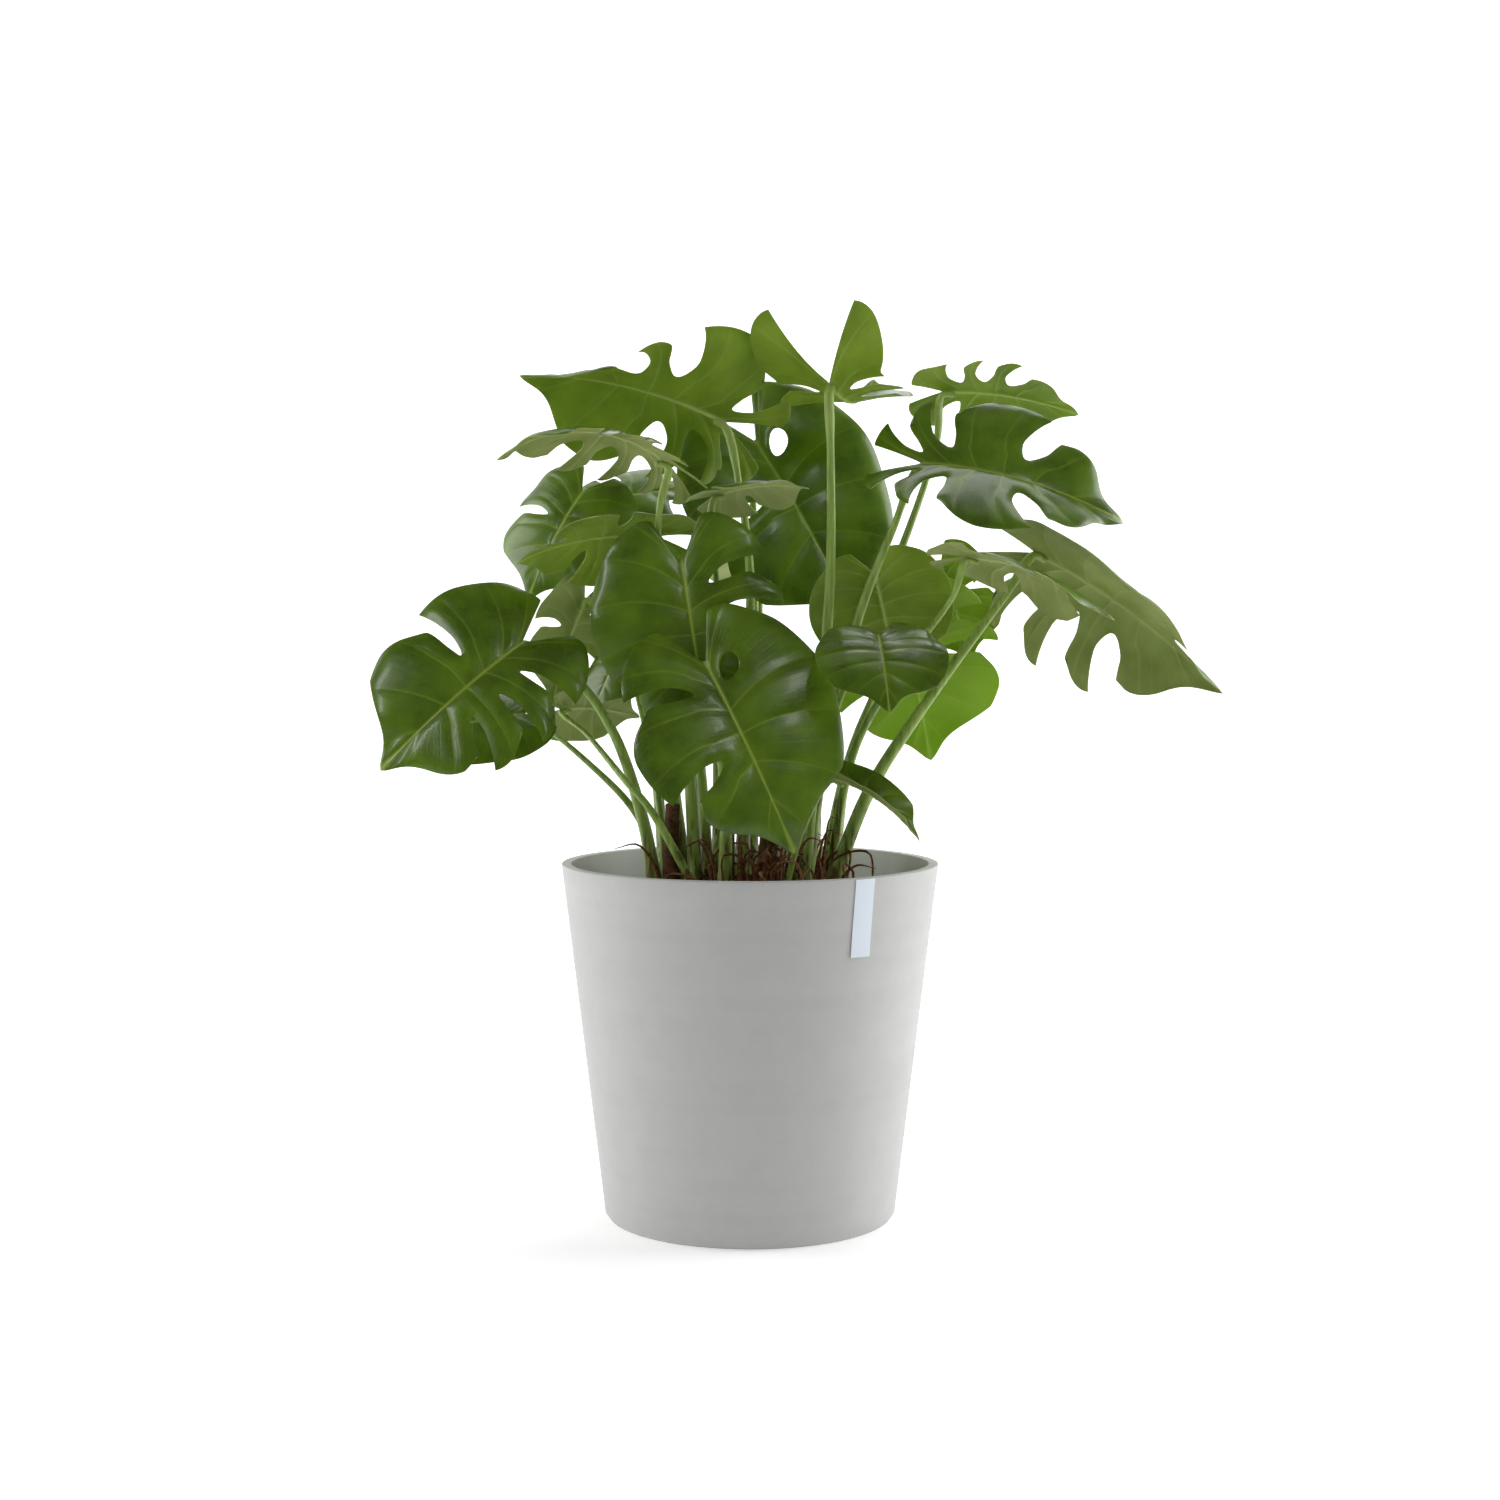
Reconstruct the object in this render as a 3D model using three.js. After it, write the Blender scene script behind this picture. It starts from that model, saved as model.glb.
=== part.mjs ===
// A potted Swiss cheese plant (monstera): a tapered planter filled with soil, short stems,
// aerial roots, and leaves that each have a stalk and a slit, bent blade.
// Millimetres, +Z up, origin at the centre of the planter's underside.

import * as THREE from "three";

const radians = THREE.MathUtils.degToRad;

// ---- Planter, soil and tag ------------------------------------------------
const POT_HEIGHT = 420;
const RIM_RADIUS = 223;
const BASE_RADIUS = 172;
const WALL = 12;
const FLOOR = 14;
const FOOT_ROUND = 7;
const POT_SIDES = 48;

const SOIL_TOP = 386;
const SOIL_FLAT_RADIUS = 130;
const SOIL_EDGE_DROP = 20;

const TAG_WIDTH = 26;
const TAG_LENGTH = 88;
const TAG_THICKNESS = 0.8;
const TAG_HEADING = -55;
const TAG_BELOW_RIM = 1;

// Touching pieces keep this much air between them.
const GAP = 0.3;

// ---- Leaves ---------------------------------------------------------------
const BLADE_THICKNESS = 1.2;
const STALK_SIDES = 6;
const STALK_STEPS = 8;

// A blade is a fan of veins. A vein is named by s, from the basal lobe (0) to the tip (1).
// For a blade 1 long these give where the vein leaves the midrib, its angle and its length.
const veinRoot = (s) => 0.82 * s ** 1.35;
const veinAngle = (s) => radians(152) * (1 - s) ** 0.75;
const pinch = (s) => 0.09 * Math.sin(Math.PI * Math.max(0, (s - 0.7) / 0.3));
const veinLength = (s) => 0.27 - 0.09 * s + 0.29 * Math.sin(Math.PI * s) - pinch(s);
// Veins start out more sideways and sweep towards the tip.
const VEIN_SWEEP = 0.2;

// Each half has six lobes, so five places between them where a slit can be.
const LOBE_EDGES = [0, 0.2, 0.36, 0.5, 0.64, 0.8, 1];
const PLAIN_EDGES = [0, 0.27, 0.5, 0.75, 1];
const SLIT_START = { d: 0.3, s: 0.6 };
const ROWS = [0, 0.3, 0.42, 0.6, 0.75, 1];
const PLAIN_ROWS = [0, 0.5, 1];
const ROWS_WITH_HOLES = [0, 0.13, 0.3, 0.42, 0.6, 0.75, 1];
const HOLE_ROW = 1;
// A lobe's corner towards the stalk is rounded off, and the one towards the tip stays sharp.
const LOBE_TIP_ROUND = 0.2;
const SHARP_CORNER = 0.15;
// Half a slit's width at a share of its way out, from its round inner end to the margin.
const slitGap = (share) => Math.sqrt(Math.min(1, share / 0.3)) * (1 - 0.35 * share);

// Heart-shaped young leaves have no slits.
const PLAIN = ".....";

// Every leaf: where its stalk meets the blade (at), where the blade's tip is, which way
// its upper side faces, its bends in degrees, its slits (d deep, s short, . none) and
// holes (o) from the base to the tip of each half, and the points its stalk grows through.
// Ears make the two lowest lobes longer, and open makes the slits wider.
const LEAVES = [
  {
    name: "front_left",
    at: [-262, -70, 680], tip: [-420, -112, 535], face: [-0.15, -0.95, 0.25],
    droop: 30, fold: 8, curl: -20, open: 0.3, left: ".ddd.", right: "..d..",
    stalk: [[-108, -35], [-125, -30, 470], [-160, -30, 575], [-205, -40, 640]],
    thick: [9, 5.5],
  },
  {
    name: "front_centre",
    at: [-50, -133, 657], tip: [50, -163, 445], face: [0.2, -0.95, 0.2],
    droop: 25, fold: 8, curl: -20, left: PLAIN, right: ".d.d.", holes: [".o....", "......"],
    stalk: [[-30, -78], [-28, -100, 500], [-40, -112, 600]],
    thick: [9, 5.5],
  },
  {
    name: "centre",
    at: [-78, -80, 771], tip: [-45, -80, 555], face: [0, -0.95, 0.25],
    droop: 25, fold: 10, curl: -25, left: ".dd..", right: "...d.",
    stalk: [[-62, -50], [-70, -42, 520], [-82, -42, 680]],
    thick: [9, 5.5],
  },
  {
    name: "upper_left",
    at: [-30, 30, 941], tip: [-268, -30, 990], face: [0, 0.62, 0.78],
    droop: 40, fold: 15, tipFold: -40, curl: -10, open: 0.7, twist: -40, width: 0.9,
    left: "d.dd.", right: "ddd..",
    stalk: [[-10, 5], [-5, 15, 560], [0, 15, 760], [-12, 22, 860]],
    thick: [9, 5.5],
  },
  {
    name: "left_edge",
    at: [-95, -60, 888], tip: [-285, -125, 885], face: [0, 0.15, 1],
    droop: 75, fold: 0, curl: -30, open: 0.7, left: "dddd.", right: "dddd.",
    stalk: [[-72, -18], [-95, -20, 560], [-108, -42, 720], [-104, -60, 835]],
    thick: [8, 5],
  },
  {
    name: "left_glossy",
    at: [-205, 106, 864], tip: [-270, 86, 732], face: [-0.35, -0.9, 0.3],
    droop: 30, fold: 0, curl: -30, width: 1.2, left: "...s.", right: "..d..",
    stalk: [[-100, 42], [-128, 106, 600], [-187, 116, 765]],
    thick: [8, 5],
  },
  {
    name: "mid_left",
    at: [-110, 24, 806], tip: [-270, -50, 772], face: [-0.2, 0.5, 0.87],
    droop: 35, fold: 0, curl: -30, width: 0.85, left: "..d.d", right: ".d.d.",
    stalk: [[-48, -2], [-62, 10, 560], [-92, 20, 720]],
    thick: [8, 5],
  },
  {
    name: "back_left",
    at: [-80, 188, 870], tip: [-255, 188, 832], face: [-0.1, -0.55, 0.8],
    droop: 30, fold: 5, curl: -30, open: 0.6, left: ".d.d.", right: ".d.d.",
    stalk: [[-38, 45], [-42, 100, 600], [-68, 172, 780]],
    thick: [8.5, 5],
  },
  {
    name: "back_centre",
    at: [7, 130, 927], tip: [130, 135, 708], face: [0.1, -0.9, 0.4],
    droop: 25, fold: 10, curl: -25, left: PLAIN, right: "..d..", holes: [".o....", "......"],
    stalk: [[0, 50], [5, 120, 600], [5, 158, 800]],
    thick: [9, 5.5],
  },
  {
    name: "top",
    at: [92, -30, 982], tip: [150, 100, 1000], face: [0, 0.1, 1],
    droop: -80, fold: 5, curl: -5, open: 0.5, ears: 2.7, left: ".d...", right: ".dd..",
    stalk: [[62, -2], [80, -20, 560], [93, -48, 760], [93, -48, 905]],
    thick: [9, 6],
  },
  {
    name: "upper_right",
    at: [199, -40, 888], tip: [434, -40, 818], face: [0.2, -0.72, 0.65],
    droop: 35, fold: 14, curl: -10, open: 0.6, width: 0.85, left: "dd.d.", right: "dd.d.",
    stalk: [[62, -30], [85, -40, 540], [128, -50, 715], [165, -45, 810]],
    thick: [9, 5.5],
  },
  {
    name: "back_right_top",
    at: [235, 100, 985], tip: [398, 82, 955], face: [0.15, 0.6, 0.8],
    droop: 30, fold: 0, curl: -20, open: 0.7, width: 0.8, left: ".ddd.", right: ".ddd.",
    stalk: [[72, 35], [98, 108, 600], [185, 130, 790], [230, 132, 925]],
    thick: [8.5, 5],
  },
  {
    name: "right_drooping",
    at: [340, 14, 786], tip: [556, -18, 620], face: [0.35, 0.7, 0.55],
    droop: 30, fold: -30, tipFold: -45, curl: -10, open: 0.6, width: 0.85,
    left: "dddd.", right: "....s",
    stalk: [[88, -48], [140, -50, 510], [207, -38, 612], [300, -8, 735]],
    thick: [9.5, 6],
  },
  {
    name: "right_folded",
    at: [248, -95, 778], tip: [408, -145, 705], face: [0.3, 0.25, 0.92],
    droop: 40, fold: 0, tipFold: -30, curl: -20, open: 0.6, width: 0.7, left: "d.d.d", right: ".d.d.",
    stalk: [[90, -5], [125, -20, 560], [190, -50, 670], [232, -98, 735]],
    thick: [7, 4],
  },
  {
    name: "light_heart",
    at: [147, 15, 762], tip: [178, 50, 640], face: [0, 0.9, 0.4],
    droop: 20, fold: 0, curl: -15, width: 1.3, left: PLAIN, right: PLAIN,
    stalk: [[45, 12], [70, 24, 560], [118, 28, 680]],
    thick: [7, 4],
  },
  {
    name: "dark_heart",
    at: [146, -95, 690], tip: [152, -212, 604], face: [0, -0.56, 0.82],
    droop: 30, fold: 5, curl: -20, left: PLAIN, right: PLAIN,
    stalk: [[62, -68], [80, -62, 540], [115, -70, 640]],
    thick: [7, 4],
  },
  {
    name: "lime_right",
    at: [186, 80, 712], tip: [222, 95, 535], face: [0, 1, 0.2],
    droop: 20, fold: 0, curl: -10, width: 1.2, left: ".d.d.", right: ".dd..",
    stalk: [[98, 22], [120, 50, 540], [160, 68, 640]],
    thick: [7.5, 4.5],
  },
  {
    name: "back_right",
    at: [235, 130, 775], tip: [275, 150, 655], face: [0.2, 0.9, 0.4],
    droop: 30, fold: 0, curl: -20, left: ".d...", right: "..d..",
    stalk: [[85, 70], [130, 110, 560], [200, 125, 690]],
    thick: [7.5, 4.5],
  },
  {
    name: "centre_edge",
    at: [-42, -40, 850], tip: [68, -80, 856], face: [0.1, 0.2, 0.95],
    droop: 30, fold: 0, curl: -30, left: "..d..", right: ".d...",
    stalk: [[-25, -30], [-25, -40, 560], [-38, -48, 740]],
    thick: [7.5, 4.5],
  },
  {
    name: "juvenile",
    at: [96, -95, 526], tip: [192, -130, 456], face: [0.4, -0.4, 0.8],
    droop: 40, fold: 35, curl: 10, width: 0.45, left: PLAIN, right: PLAIN,
    stalk: [[35, -92], [62, -98, 470]],
    thick: [5, 3],
  },
  {
    name: "lower_left_dark",
    at: [-265, -20, 597], tip: [-395, -40, 560], face: [-0.2, -0.6, 0.75],
    droop: 30, fold: 0, curl: -20, left: PLAIN, right: PLAIN,
    stalk: [[-112, -5], [-128, 0, 465], [-193, -10, 540]],
    thick: [6, 3.5],
  },
  {
    name: "lower_left_pale",
    at: [-229, 48, 600], tip: [-135, 98, 588], face: [-0.1, 0.7, 0.7],
    droop: 30, fold: 0, curl: -15, left: PLAIN, right: PLAIN,
    stalk: [[-52, -92], [-115, -76, 488], [-144, -62, 520], [-195, 10, 572]],
    thick: [6, 3.5],
  },
  {
    name: "hanging_left",
    at: [-200, 70, 732], tip: [-240, 75, 602], face: [-0.5, 0.8, 0.1],
    droop: 30, fold: 0, curl: -20, width: 0.85, left: "..d..", right: ".d.d.",
    stalk: [[-78, 60], [-105, 70, 560], [-158, 78, 670]],
    thick: [7.5, 4.5],
  },
  {
    name: "lime_left",
    at: [-118, 122, 765], tip: [-133, 142, 618], face: [0, 0.95, 0.3],
    droop: 25, fold: 0, curl: -10, width: 0.8, left: ".d.d.", right: "..d..",
    stalk: [[-50, 85], [-72, 108, 560], [-98, 112, 700]],
    thick: [7.5, 4.5],
  },
  {
    name: "rear",
    at: [16, 190, 790], tip: [36, 350, 730], face: [0, 0.2, 1],
    droop: 50, fold: 5, curl: -30, left: ".dd..", right: "..dd.",
    stalk: [[22, 85], [18, 140, 560], [12, 172, 710]],
    thick: [8, 5],
  },
  {
    name: "left_dark",
    at: [-150, 5, 672], tip: [-182, -15, 600], face: [-0.5, -0.7, 0.5],
    droop: 25, fold: 0, curl: -20, left: PLAIN, right: PLAIN,
    stalk: [[-98, 14], [-112, 12, 520], [-132, 12, 610]],
    thick: [6, 3.5],
  },
];

// ---- Stems and aerial roots -----------------------------------------------
const STEMS = [
  { name: "stem_left", points: [[-88, -38], [-92, -42, 430], [-90, -48, 492]], thick: [11, 8] },
  { name: "stem_centre", points: [[18, -20], [20, -18, 420], [24, -20, 470]], thick: [13, 10] },
];
const ROOTS = [
  { name: "aerial_root_front", points: [[10, -95], [8, -98, 420], [22, -60, 445]], thick: [3, 3] },
  { name: "aerial_root_middle", points: [[84, -74], [81, -79, 418], [78, -87, 432]], thick: [3, 3] },
  { name: "aerial_root_left", points: [[-8, -60], [-8, -55, 420], [6, -36, 436]], thick: [3, 3] },
];

// ---- Materials ------------------------------------------------------------
function material(colour, roughness) {
  return new THREE.MeshStandardMaterial({ color: colour, roughness, metalness: 0 });
}

const PLANTER_GREY = material("#b9bbba", 0.6);
const SOIL_BROWN = material("#3a2a1e", 0.95);
const TAG_PAPER = material("#dfe8f0", 0.7);
const LEAF_GREEN = material("#2f5a12", 0.35);
const STALK_GREEN = material("#6f8f35", 0.5);
const STEM_BROWN = material("#4a2c1c", 0.8);
const ROOT_BROWN = material("#6b3f24", 0.85);

// ---- Helpers --------------------------------------------------------------
const plant = new THREE.Group();

function addPiece(name, geometry, look) {
  const mesh = new THREE.Mesh(geometry, look);
  mesh.name = name;
  plant.add(mesh);
  return mesh;
}

function vector(values) {
  return new THREE.Vector3(...values);
}

function meshOf(points, triangles) {
  const geometry = new THREE.BufferGeometry();
  const flat = points.flatMap((point) => point.toArray());
  geometry.setAttribute("position", new THREE.Float32BufferAttribute(flat, 3));
  geometry.setIndex(triangles);
  geometry.computeVertexNormals();
  return geometry;
}

// ---- Planter, soil and tag ------------------------------------------------
function innerRadius(z) {
  const taper = (RIM_RADIUS - BASE_RADIUS) / POT_HEIGHT;
  return BASE_RADIUS + taper * z - WALL;
}

function planter() {
  const profile = [new THREE.Vector2(0, 0)];
  const steps = 3;
  for (let i = 0; i <= steps; i += 1) {
    const turn = (Math.PI / 2) * (i / steps);
    const radius = BASE_RADIUS - FOOT_ROUND * (1 - Math.sin(turn));
    profile.push(new THREE.Vector2(radius, FOOT_ROUND * (1 - Math.cos(turn))));
  }
  profile.push(
    new THREE.Vector2(RIM_RADIUS, POT_HEIGHT),
    new THREE.Vector2(innerRadius(POT_HEIGHT), POT_HEIGHT),
    new THREE.Vector2(innerRadius(FLOOR), FLOOR),
    new THREE.Vector2(0, FLOOR),
  );
  const geometry = new THREE.LatheGeometry(profile, POT_SIDES);
  geometry.rotateX(Math.PI / 2);
  return geometry;
}

function soil() {
  const edge = SOIL_TOP - SOIL_EDGE_DROP;
  const bottom = FLOOR + GAP;
  const profile = [
    new THREE.Vector2(0, bottom),
    new THREE.Vector2(innerRadius(bottom) - GAP, bottom),
    new THREE.Vector2(innerRadius(edge) - GAP, edge),
    new THREE.Vector2((SOIL_FLAT_RADIUS + innerRadius(edge)) / 2, SOIL_TOP - SOIL_EDGE_DROP / 2),
    new THREE.Vector2(SOIL_FLAT_RADIUS, SOIL_TOP),
    new THREE.Vector2(0, SOIL_TOP),
  ];
  const geometry = new THREE.LatheGeometry(profile, POT_SIDES);
  geometry.rotateX(Math.PI / 2);
  return geometry;
}

// A thin strip that hangs from the rim and lies on the sloping wall.
function addTag() {
  const slope = Math.atan((RIM_RADIUS - BASE_RADIUS) / POT_HEIGHT);
  const geometry = new THREE.BoxGeometry(TAG_THICKNESS, TAG_WIDTH, TAG_LENGTH);
  const tag = addPiece("tag", geometry, TAG_PAPER);
  const heading = radians(TAG_HEADING);
  const middle = POT_HEIGHT - TAG_BELOW_RIM - TAG_LENGTH / 2;
  const wall = BASE_RADIUS + (RIM_RADIUS - BASE_RADIUS) * (middle / POT_HEIGHT);
  const out = wall + GAP + TAG_THICKNESS;
  tag.position.set(out * Math.cos(heading), out * Math.sin(heading), middle);
  tag.rotation.set(0, slope, heading, "ZYX");
}

// ---- Tubes that narrow along their way ------------------------------------
// The foot stands level on the soil, so its ring is flattened to the soil's height.
function tube(points, thick, sides, steps, level) {
  const curve = new THREE.CatmullRomCurve3(points, false, "centripetal");
  const frames = curve.computeFrenetFrames(steps, false);
  const rings = [];
  for (let i = 0; i <= steps; i += 1) {
    const along = i / steps;
    const centre = curve.getPointAt(along);
    const radius = THREE.MathUtils.lerp(thick[0], thick[1], along);
    for (let k = 0; k < sides; k += 1) {
      const turn = (2 * Math.PI * k) / sides;
      const point = centre.clone();
      point.addScaledVector(frames.normals[i], radius * Math.cos(turn));
      point.addScaledVector(frames.binormals[i], radius * Math.sin(turn));
      if (level && i === 0) point.z = centre.z;
      rings.push(point);
    }
  }
  const triangles = [];
  for (let i = 0; i < steps; i += 1) {
    for (let k = 0; k < sides; k += 1) {
      const a = i * sides + k;
      const b = i * sides + ((k + 1) % sides);
      triangles.push(a, b, b + sides, a, b + sides, a + sides);
    }
  }
  const last = steps * sides;
  for (let k = 1; k < sides - 1; k += 1) {
    triangles.push(0, k + 1, k);
    triangles.push(last, last + k, last + k + 1);
  }
  return meshOf(rings, triangles);
}

function fromSoil(points) {
  const [foot, ...rest] = points;
  return [vector([...foot, SOIL_TOP + GAP]), ...rest.map(vector)];
}

// ---- Blades ---------------------------------------------------------------
// A flat blade point, u along the midrib and v across it, bent to its shape in space:
// each half leaves the midrib at the fold angle and curls, the midrib droops, and the
// blade twists about it.
function bend(leaf, u, v) {
  const across = Math.abs(v);
  const along = THREE.MathUtils.clamp(u / leaf.length, 0, 1);
  const fold = radians(THREE.MathUtils.lerp(leaf.fold, leaf.tipFold, along));
  const curl = radians(leaf.curl || 0.01) / (0.5 * leaf.length);
  const out = (Math.sin(fold + curl * across) - Math.sin(fold)) / curl;
  const lift = (Math.cos(fold) - Math.cos(fold + curl * across)) / curl;
  const twist = radians(leaf.twist) * (u / leaf.length - 0.5);
  const side = Math.sign(v) * out * Math.cos(twist) - lift * Math.sin(twist);
  const height = Math.sign(v) * out * Math.sin(twist) + lift * Math.cos(twist);
  const droop = radians(leaf.droop) / leaf.length;
  const turn = droop * u;
  const point = new THREE.Vector3(
    Math.sin(turn) / droop + height * Math.sin(turn),
    side,
    (Math.cos(turn) - 1) / droop + height * Math.cos(turn),
  );
  // Turned so that the line from the stalk to the tip is the blade's own x axis.
  return point.applyAxisAngle(new THREE.Vector3(0, 1, 0), -radians(leaf.droop) / 2);
}

function upward(leaf, u, v) {
  const step = 0.5;
  const along = bend(leaf, u + step, v).sub(bend(leaf, u - step, v));
  const over = bend(leaf, u, v + step).sub(bend(leaf, u, v - step));
  return along.cross(over).normalize();
}

// One lobe's edge or middle line, from the midrib to the margin, as flat points.
function veinLine(leaf, half, lobe, across) {
  const slits = half > 0 ? leaf.left : leaf.right;
  const [low, high] = [leaf.edges[lobe], leaf.edges[lobe + 1]];
  const starts = [SLIT_START[slits[lobe - 1]], SLIT_START[slits[lobe]]];
  return leaf.rows.map((t) => {
    const [below, above] = starts.map((start) => (start && t > start ? (t - start) / (1 - start) : 0));
    const from = low + (high - low) * 0.5 * leaf.open * slitGap(below);
    const to = high - (high - low) * 0.5 * leaf.open * slitGap(above);
    const s = THREE.MathUtils.lerp(from, to, across);
    const corner = (1 - across) * below ** 3 + SHARP_CORNER * across * above ** 3;
    const cut = across === 0.5 ? 0 : LOBE_TIP_ROUND * corner;
    const ear = 1 + (leaf.ears - 1) * Math.max(0, 1 - s / 0.3);
    const reach = veinLength(s) * ear * leaf.length * t * (1 - cut);
    const angle = veinAngle(s) * (1 + VEIN_SWEEP * (1 - t) * Math.min(1, s / 0.25));
    const u = veinRoot(s) * leaf.length + reach * Math.cos(angle);
    const v = half * reach * Math.sin(angle) * leaf.width;
    return [u, Math.abs(v) < 1e-6 ? 0 : v];
  });
}

// The blade as one sheet of cells, then given its thickness and closed at every edge.
function blade(leaf) {
  const flats = [];
  const known = new Map();
  const cells = [];
  const number = (flat) => {
    const key = flat.map((value) => Math.round(value * 1000)).join();
    if (!known.has(key)) {
      known.set(key, flats.length);
      flats.push(flat);
    }
    return known.get(key);
  };
  for (const half of [1, -1]) {
    const holes = leaf.holes ? leaf.holes[half > 0 ? 0 : 1] : "......";
    for (let lobe = 0; lobe < leaf.edges.length - 1; lobe += 1) {
      const lines = [0, 0.5, 1].map((across) => veinLine(leaf, half, lobe, across).map(number));
      for (let i = 0; i < 2; i += 1) {
        for (let row = 0; row < leaf.rows.length - 1; row += 1) {
          if (holes[lobe] === "o" && row === HOLE_ROW) continue;
          const corners = [lines[i][row], lines[i][row + 1], lines[i + 1][row + 1], lines[i + 1][row]];
          cells.push(half > 0 ? corners.reverse() : corners);
        }
      }
    }
  }
  return solidSheet(leaf, flats, cells);
}

function solidSheet(leaf, flats, cells) {
  const half = BLADE_THICKNESS / 2;
  const upper = flats.map(([u, v]) => bend(leaf, u, v).addScaledVector(upward(leaf, u, v), half));
  const lower = flats.map(([u, v]) => bend(leaf, u, v).addScaledVector(upward(leaf, u, v), -half));
  const count = flats.length;
  const triangles = [];
  const sheet = [];
  for (const [a, b, c, d] of cells) {
    for (const triangle of [[a, b, c], [a, c, d]]) {
      if (new Set(triangle).size === 3) sheet.push(triangle);
    }
  }
  const edges = new Set();
  for (const [a, b, c] of sheet) {
    triangles.push(a, b, c, count + c, count + b, count + a);
    for (const edge of [[a, b], [b, c], [c, a]]) edges.add(edge.join());
  }
  for (const edge of edges) {
    const [a, b] = edge.split(",").map(Number);
    if (!edges.has(`${b},${a}`)) triangles.push(b, a, count + a, b, count + a, count + b);
  }
  return meshOf([...upper, ...lower], triangles);
}

function addLeaf(given) {
  const plain = given.left === PLAIN && given.right === PLAIN && !given.holes;
  const rows = given.holes ? ROWS_WITH_HOLES : ROWS;
  const leaf = { width: 1, twist: 0, open: 0.42, ears: 1, tipFold: given.fold, ...given };
  leaf.edges = plain ? PLAIN_EDGES : LOBE_EDGES;
  leaf.rows = plain ? PLAIN_ROWS : rows;
  const chord = vector(leaf.tip).sub(vector(leaf.at));
  const halfDroop = radians(leaf.droop) / 2;
  leaf.length = (chord.length() * halfDroop) / Math.sin(halfDroop);
  const along = chord.normalize();
  const face = vector(leaf.face);
  face.addScaledVector(along, -face.dot(along)).normalize();
  const side = new THREE.Vector3().crossVectors(face, along);
  const turn = new THREE.Matrix4().makeBasis(along, side, face);
  const piece = addPiece(`leaf_${leaf.name}`, blade(leaf), LEAF_GREEN);
  piece.position.set(...leaf.at);
  piece.quaternion.setFromRotationMatrix(turn);

  // The stalk ends just under the blade.
  const under = upward(leaf, 0, 0).applyMatrix4(turn);
  const room = leaf.thick[1] + BLADE_THICKNESS / 2 + 2 * GAP;
  const end = vector(leaf.at).addScaledVector(under, -room);
  const points = [...fromSoil(leaf.stalk), end];
  addPiece(`stalk_${leaf.name}`, tube(points, leaf.thick, STALK_SIDES, STALK_STEPS, true), STALK_GREEN);
}

// ---- The whole plant ------------------------------------------------------
addPiece("planter", planter(), PLANTER_GREY);
addPiece("soil", soil(), SOIL_BROWN);
addTag();
for (const leaf of LEAVES) addLeaf(leaf);
for (const stem of STEMS) {
  addPiece(stem.name, tube(fromSoil(stem.points), stem.thick, 8, 5, true), STEM_BROWN);
}
for (const root of ROOTS) {
  addPiece(root.name, tube(fromSoil(root.points), root.thick, 6, 6, true), ROOT_BROWN);
}

export default plant;
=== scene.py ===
# %% [markdown]
# # A potted Swiss cheese plant
#
# The real thing is a tapered planter moulded from plastic filled with stone dust, a load of
# potting soil, and a monstera: twenty-six leaves, each one a long stalk with a slit, glossy
# blade on its end, growing from two short stems with brown aerial roots between them.
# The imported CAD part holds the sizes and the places. Here each of its pieces gets a finer
# stand-in at the same place, and a finish. Everything is in metres with +Z up.

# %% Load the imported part
import math
import random

import bpy
import numpy as np
from mathutils import Matrix, Vector, noise


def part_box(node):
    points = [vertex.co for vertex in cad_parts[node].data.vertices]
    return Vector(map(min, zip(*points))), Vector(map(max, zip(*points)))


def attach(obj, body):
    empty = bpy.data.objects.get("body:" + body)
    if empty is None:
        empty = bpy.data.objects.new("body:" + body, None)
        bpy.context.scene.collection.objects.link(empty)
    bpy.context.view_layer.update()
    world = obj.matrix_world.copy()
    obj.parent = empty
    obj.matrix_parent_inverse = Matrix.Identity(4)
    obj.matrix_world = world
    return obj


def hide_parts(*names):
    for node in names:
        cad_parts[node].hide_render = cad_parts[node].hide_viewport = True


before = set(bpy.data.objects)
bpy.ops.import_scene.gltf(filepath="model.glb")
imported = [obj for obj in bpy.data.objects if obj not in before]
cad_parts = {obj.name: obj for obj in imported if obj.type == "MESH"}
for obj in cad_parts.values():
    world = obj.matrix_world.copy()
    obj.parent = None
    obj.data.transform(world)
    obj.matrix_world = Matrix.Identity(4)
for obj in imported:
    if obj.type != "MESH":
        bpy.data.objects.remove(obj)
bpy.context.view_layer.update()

MM = 0.001
print("packed pieces:", len(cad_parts))

# %% [markdown]
# ## Helpers
#
# A node tree reads best when each node is one line, so one helper adds a node, sets its
# settings and feeds its inputs. An input is a plain value or the output of another node.
# Calls can be chained, since each hands back an output.

# %% Adding a node
def feed(node, pairs):
    """Sets a node's inputs, each to a value, an sRGB hex colour or another node's output."""
    for key, value in pairs:
        if str(value).startswith("#"):
            value = linear(value)
        if isinstance(value, bpy.types.NodeSocket):
            node.id_data.links.new(value, node.inputs[key])
        else:
            node.inputs[key].default_value = value


FULL_NAMES = ("GeometryNode", "FunctionNode", "NodeGroup")


def add(tree, kind, inputs=(), out=0, **settings):
    """Adds a node and hands back one output. kind is a Math node's operation when it is in
    capitals, and a shader node's name otherwise, unless it starts as a full name does.
    inputs is a list in the node's own order, or a dict by a socket's name or number."""
    if kind.isupper():
        kind, settings = "Math", {"operation": kind}
    made = tree.nodes.new(kind if kind.startswith(FULL_NAMES) else "ShaderNode" + kind)
    for name, value in settings.items():
        setattr(made, name, value)
    feed(made, inputs.items() if isinstance(inputs, dict) else enumerate(inputs))
    return made.outputs[out] if made.outputs else made


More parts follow.
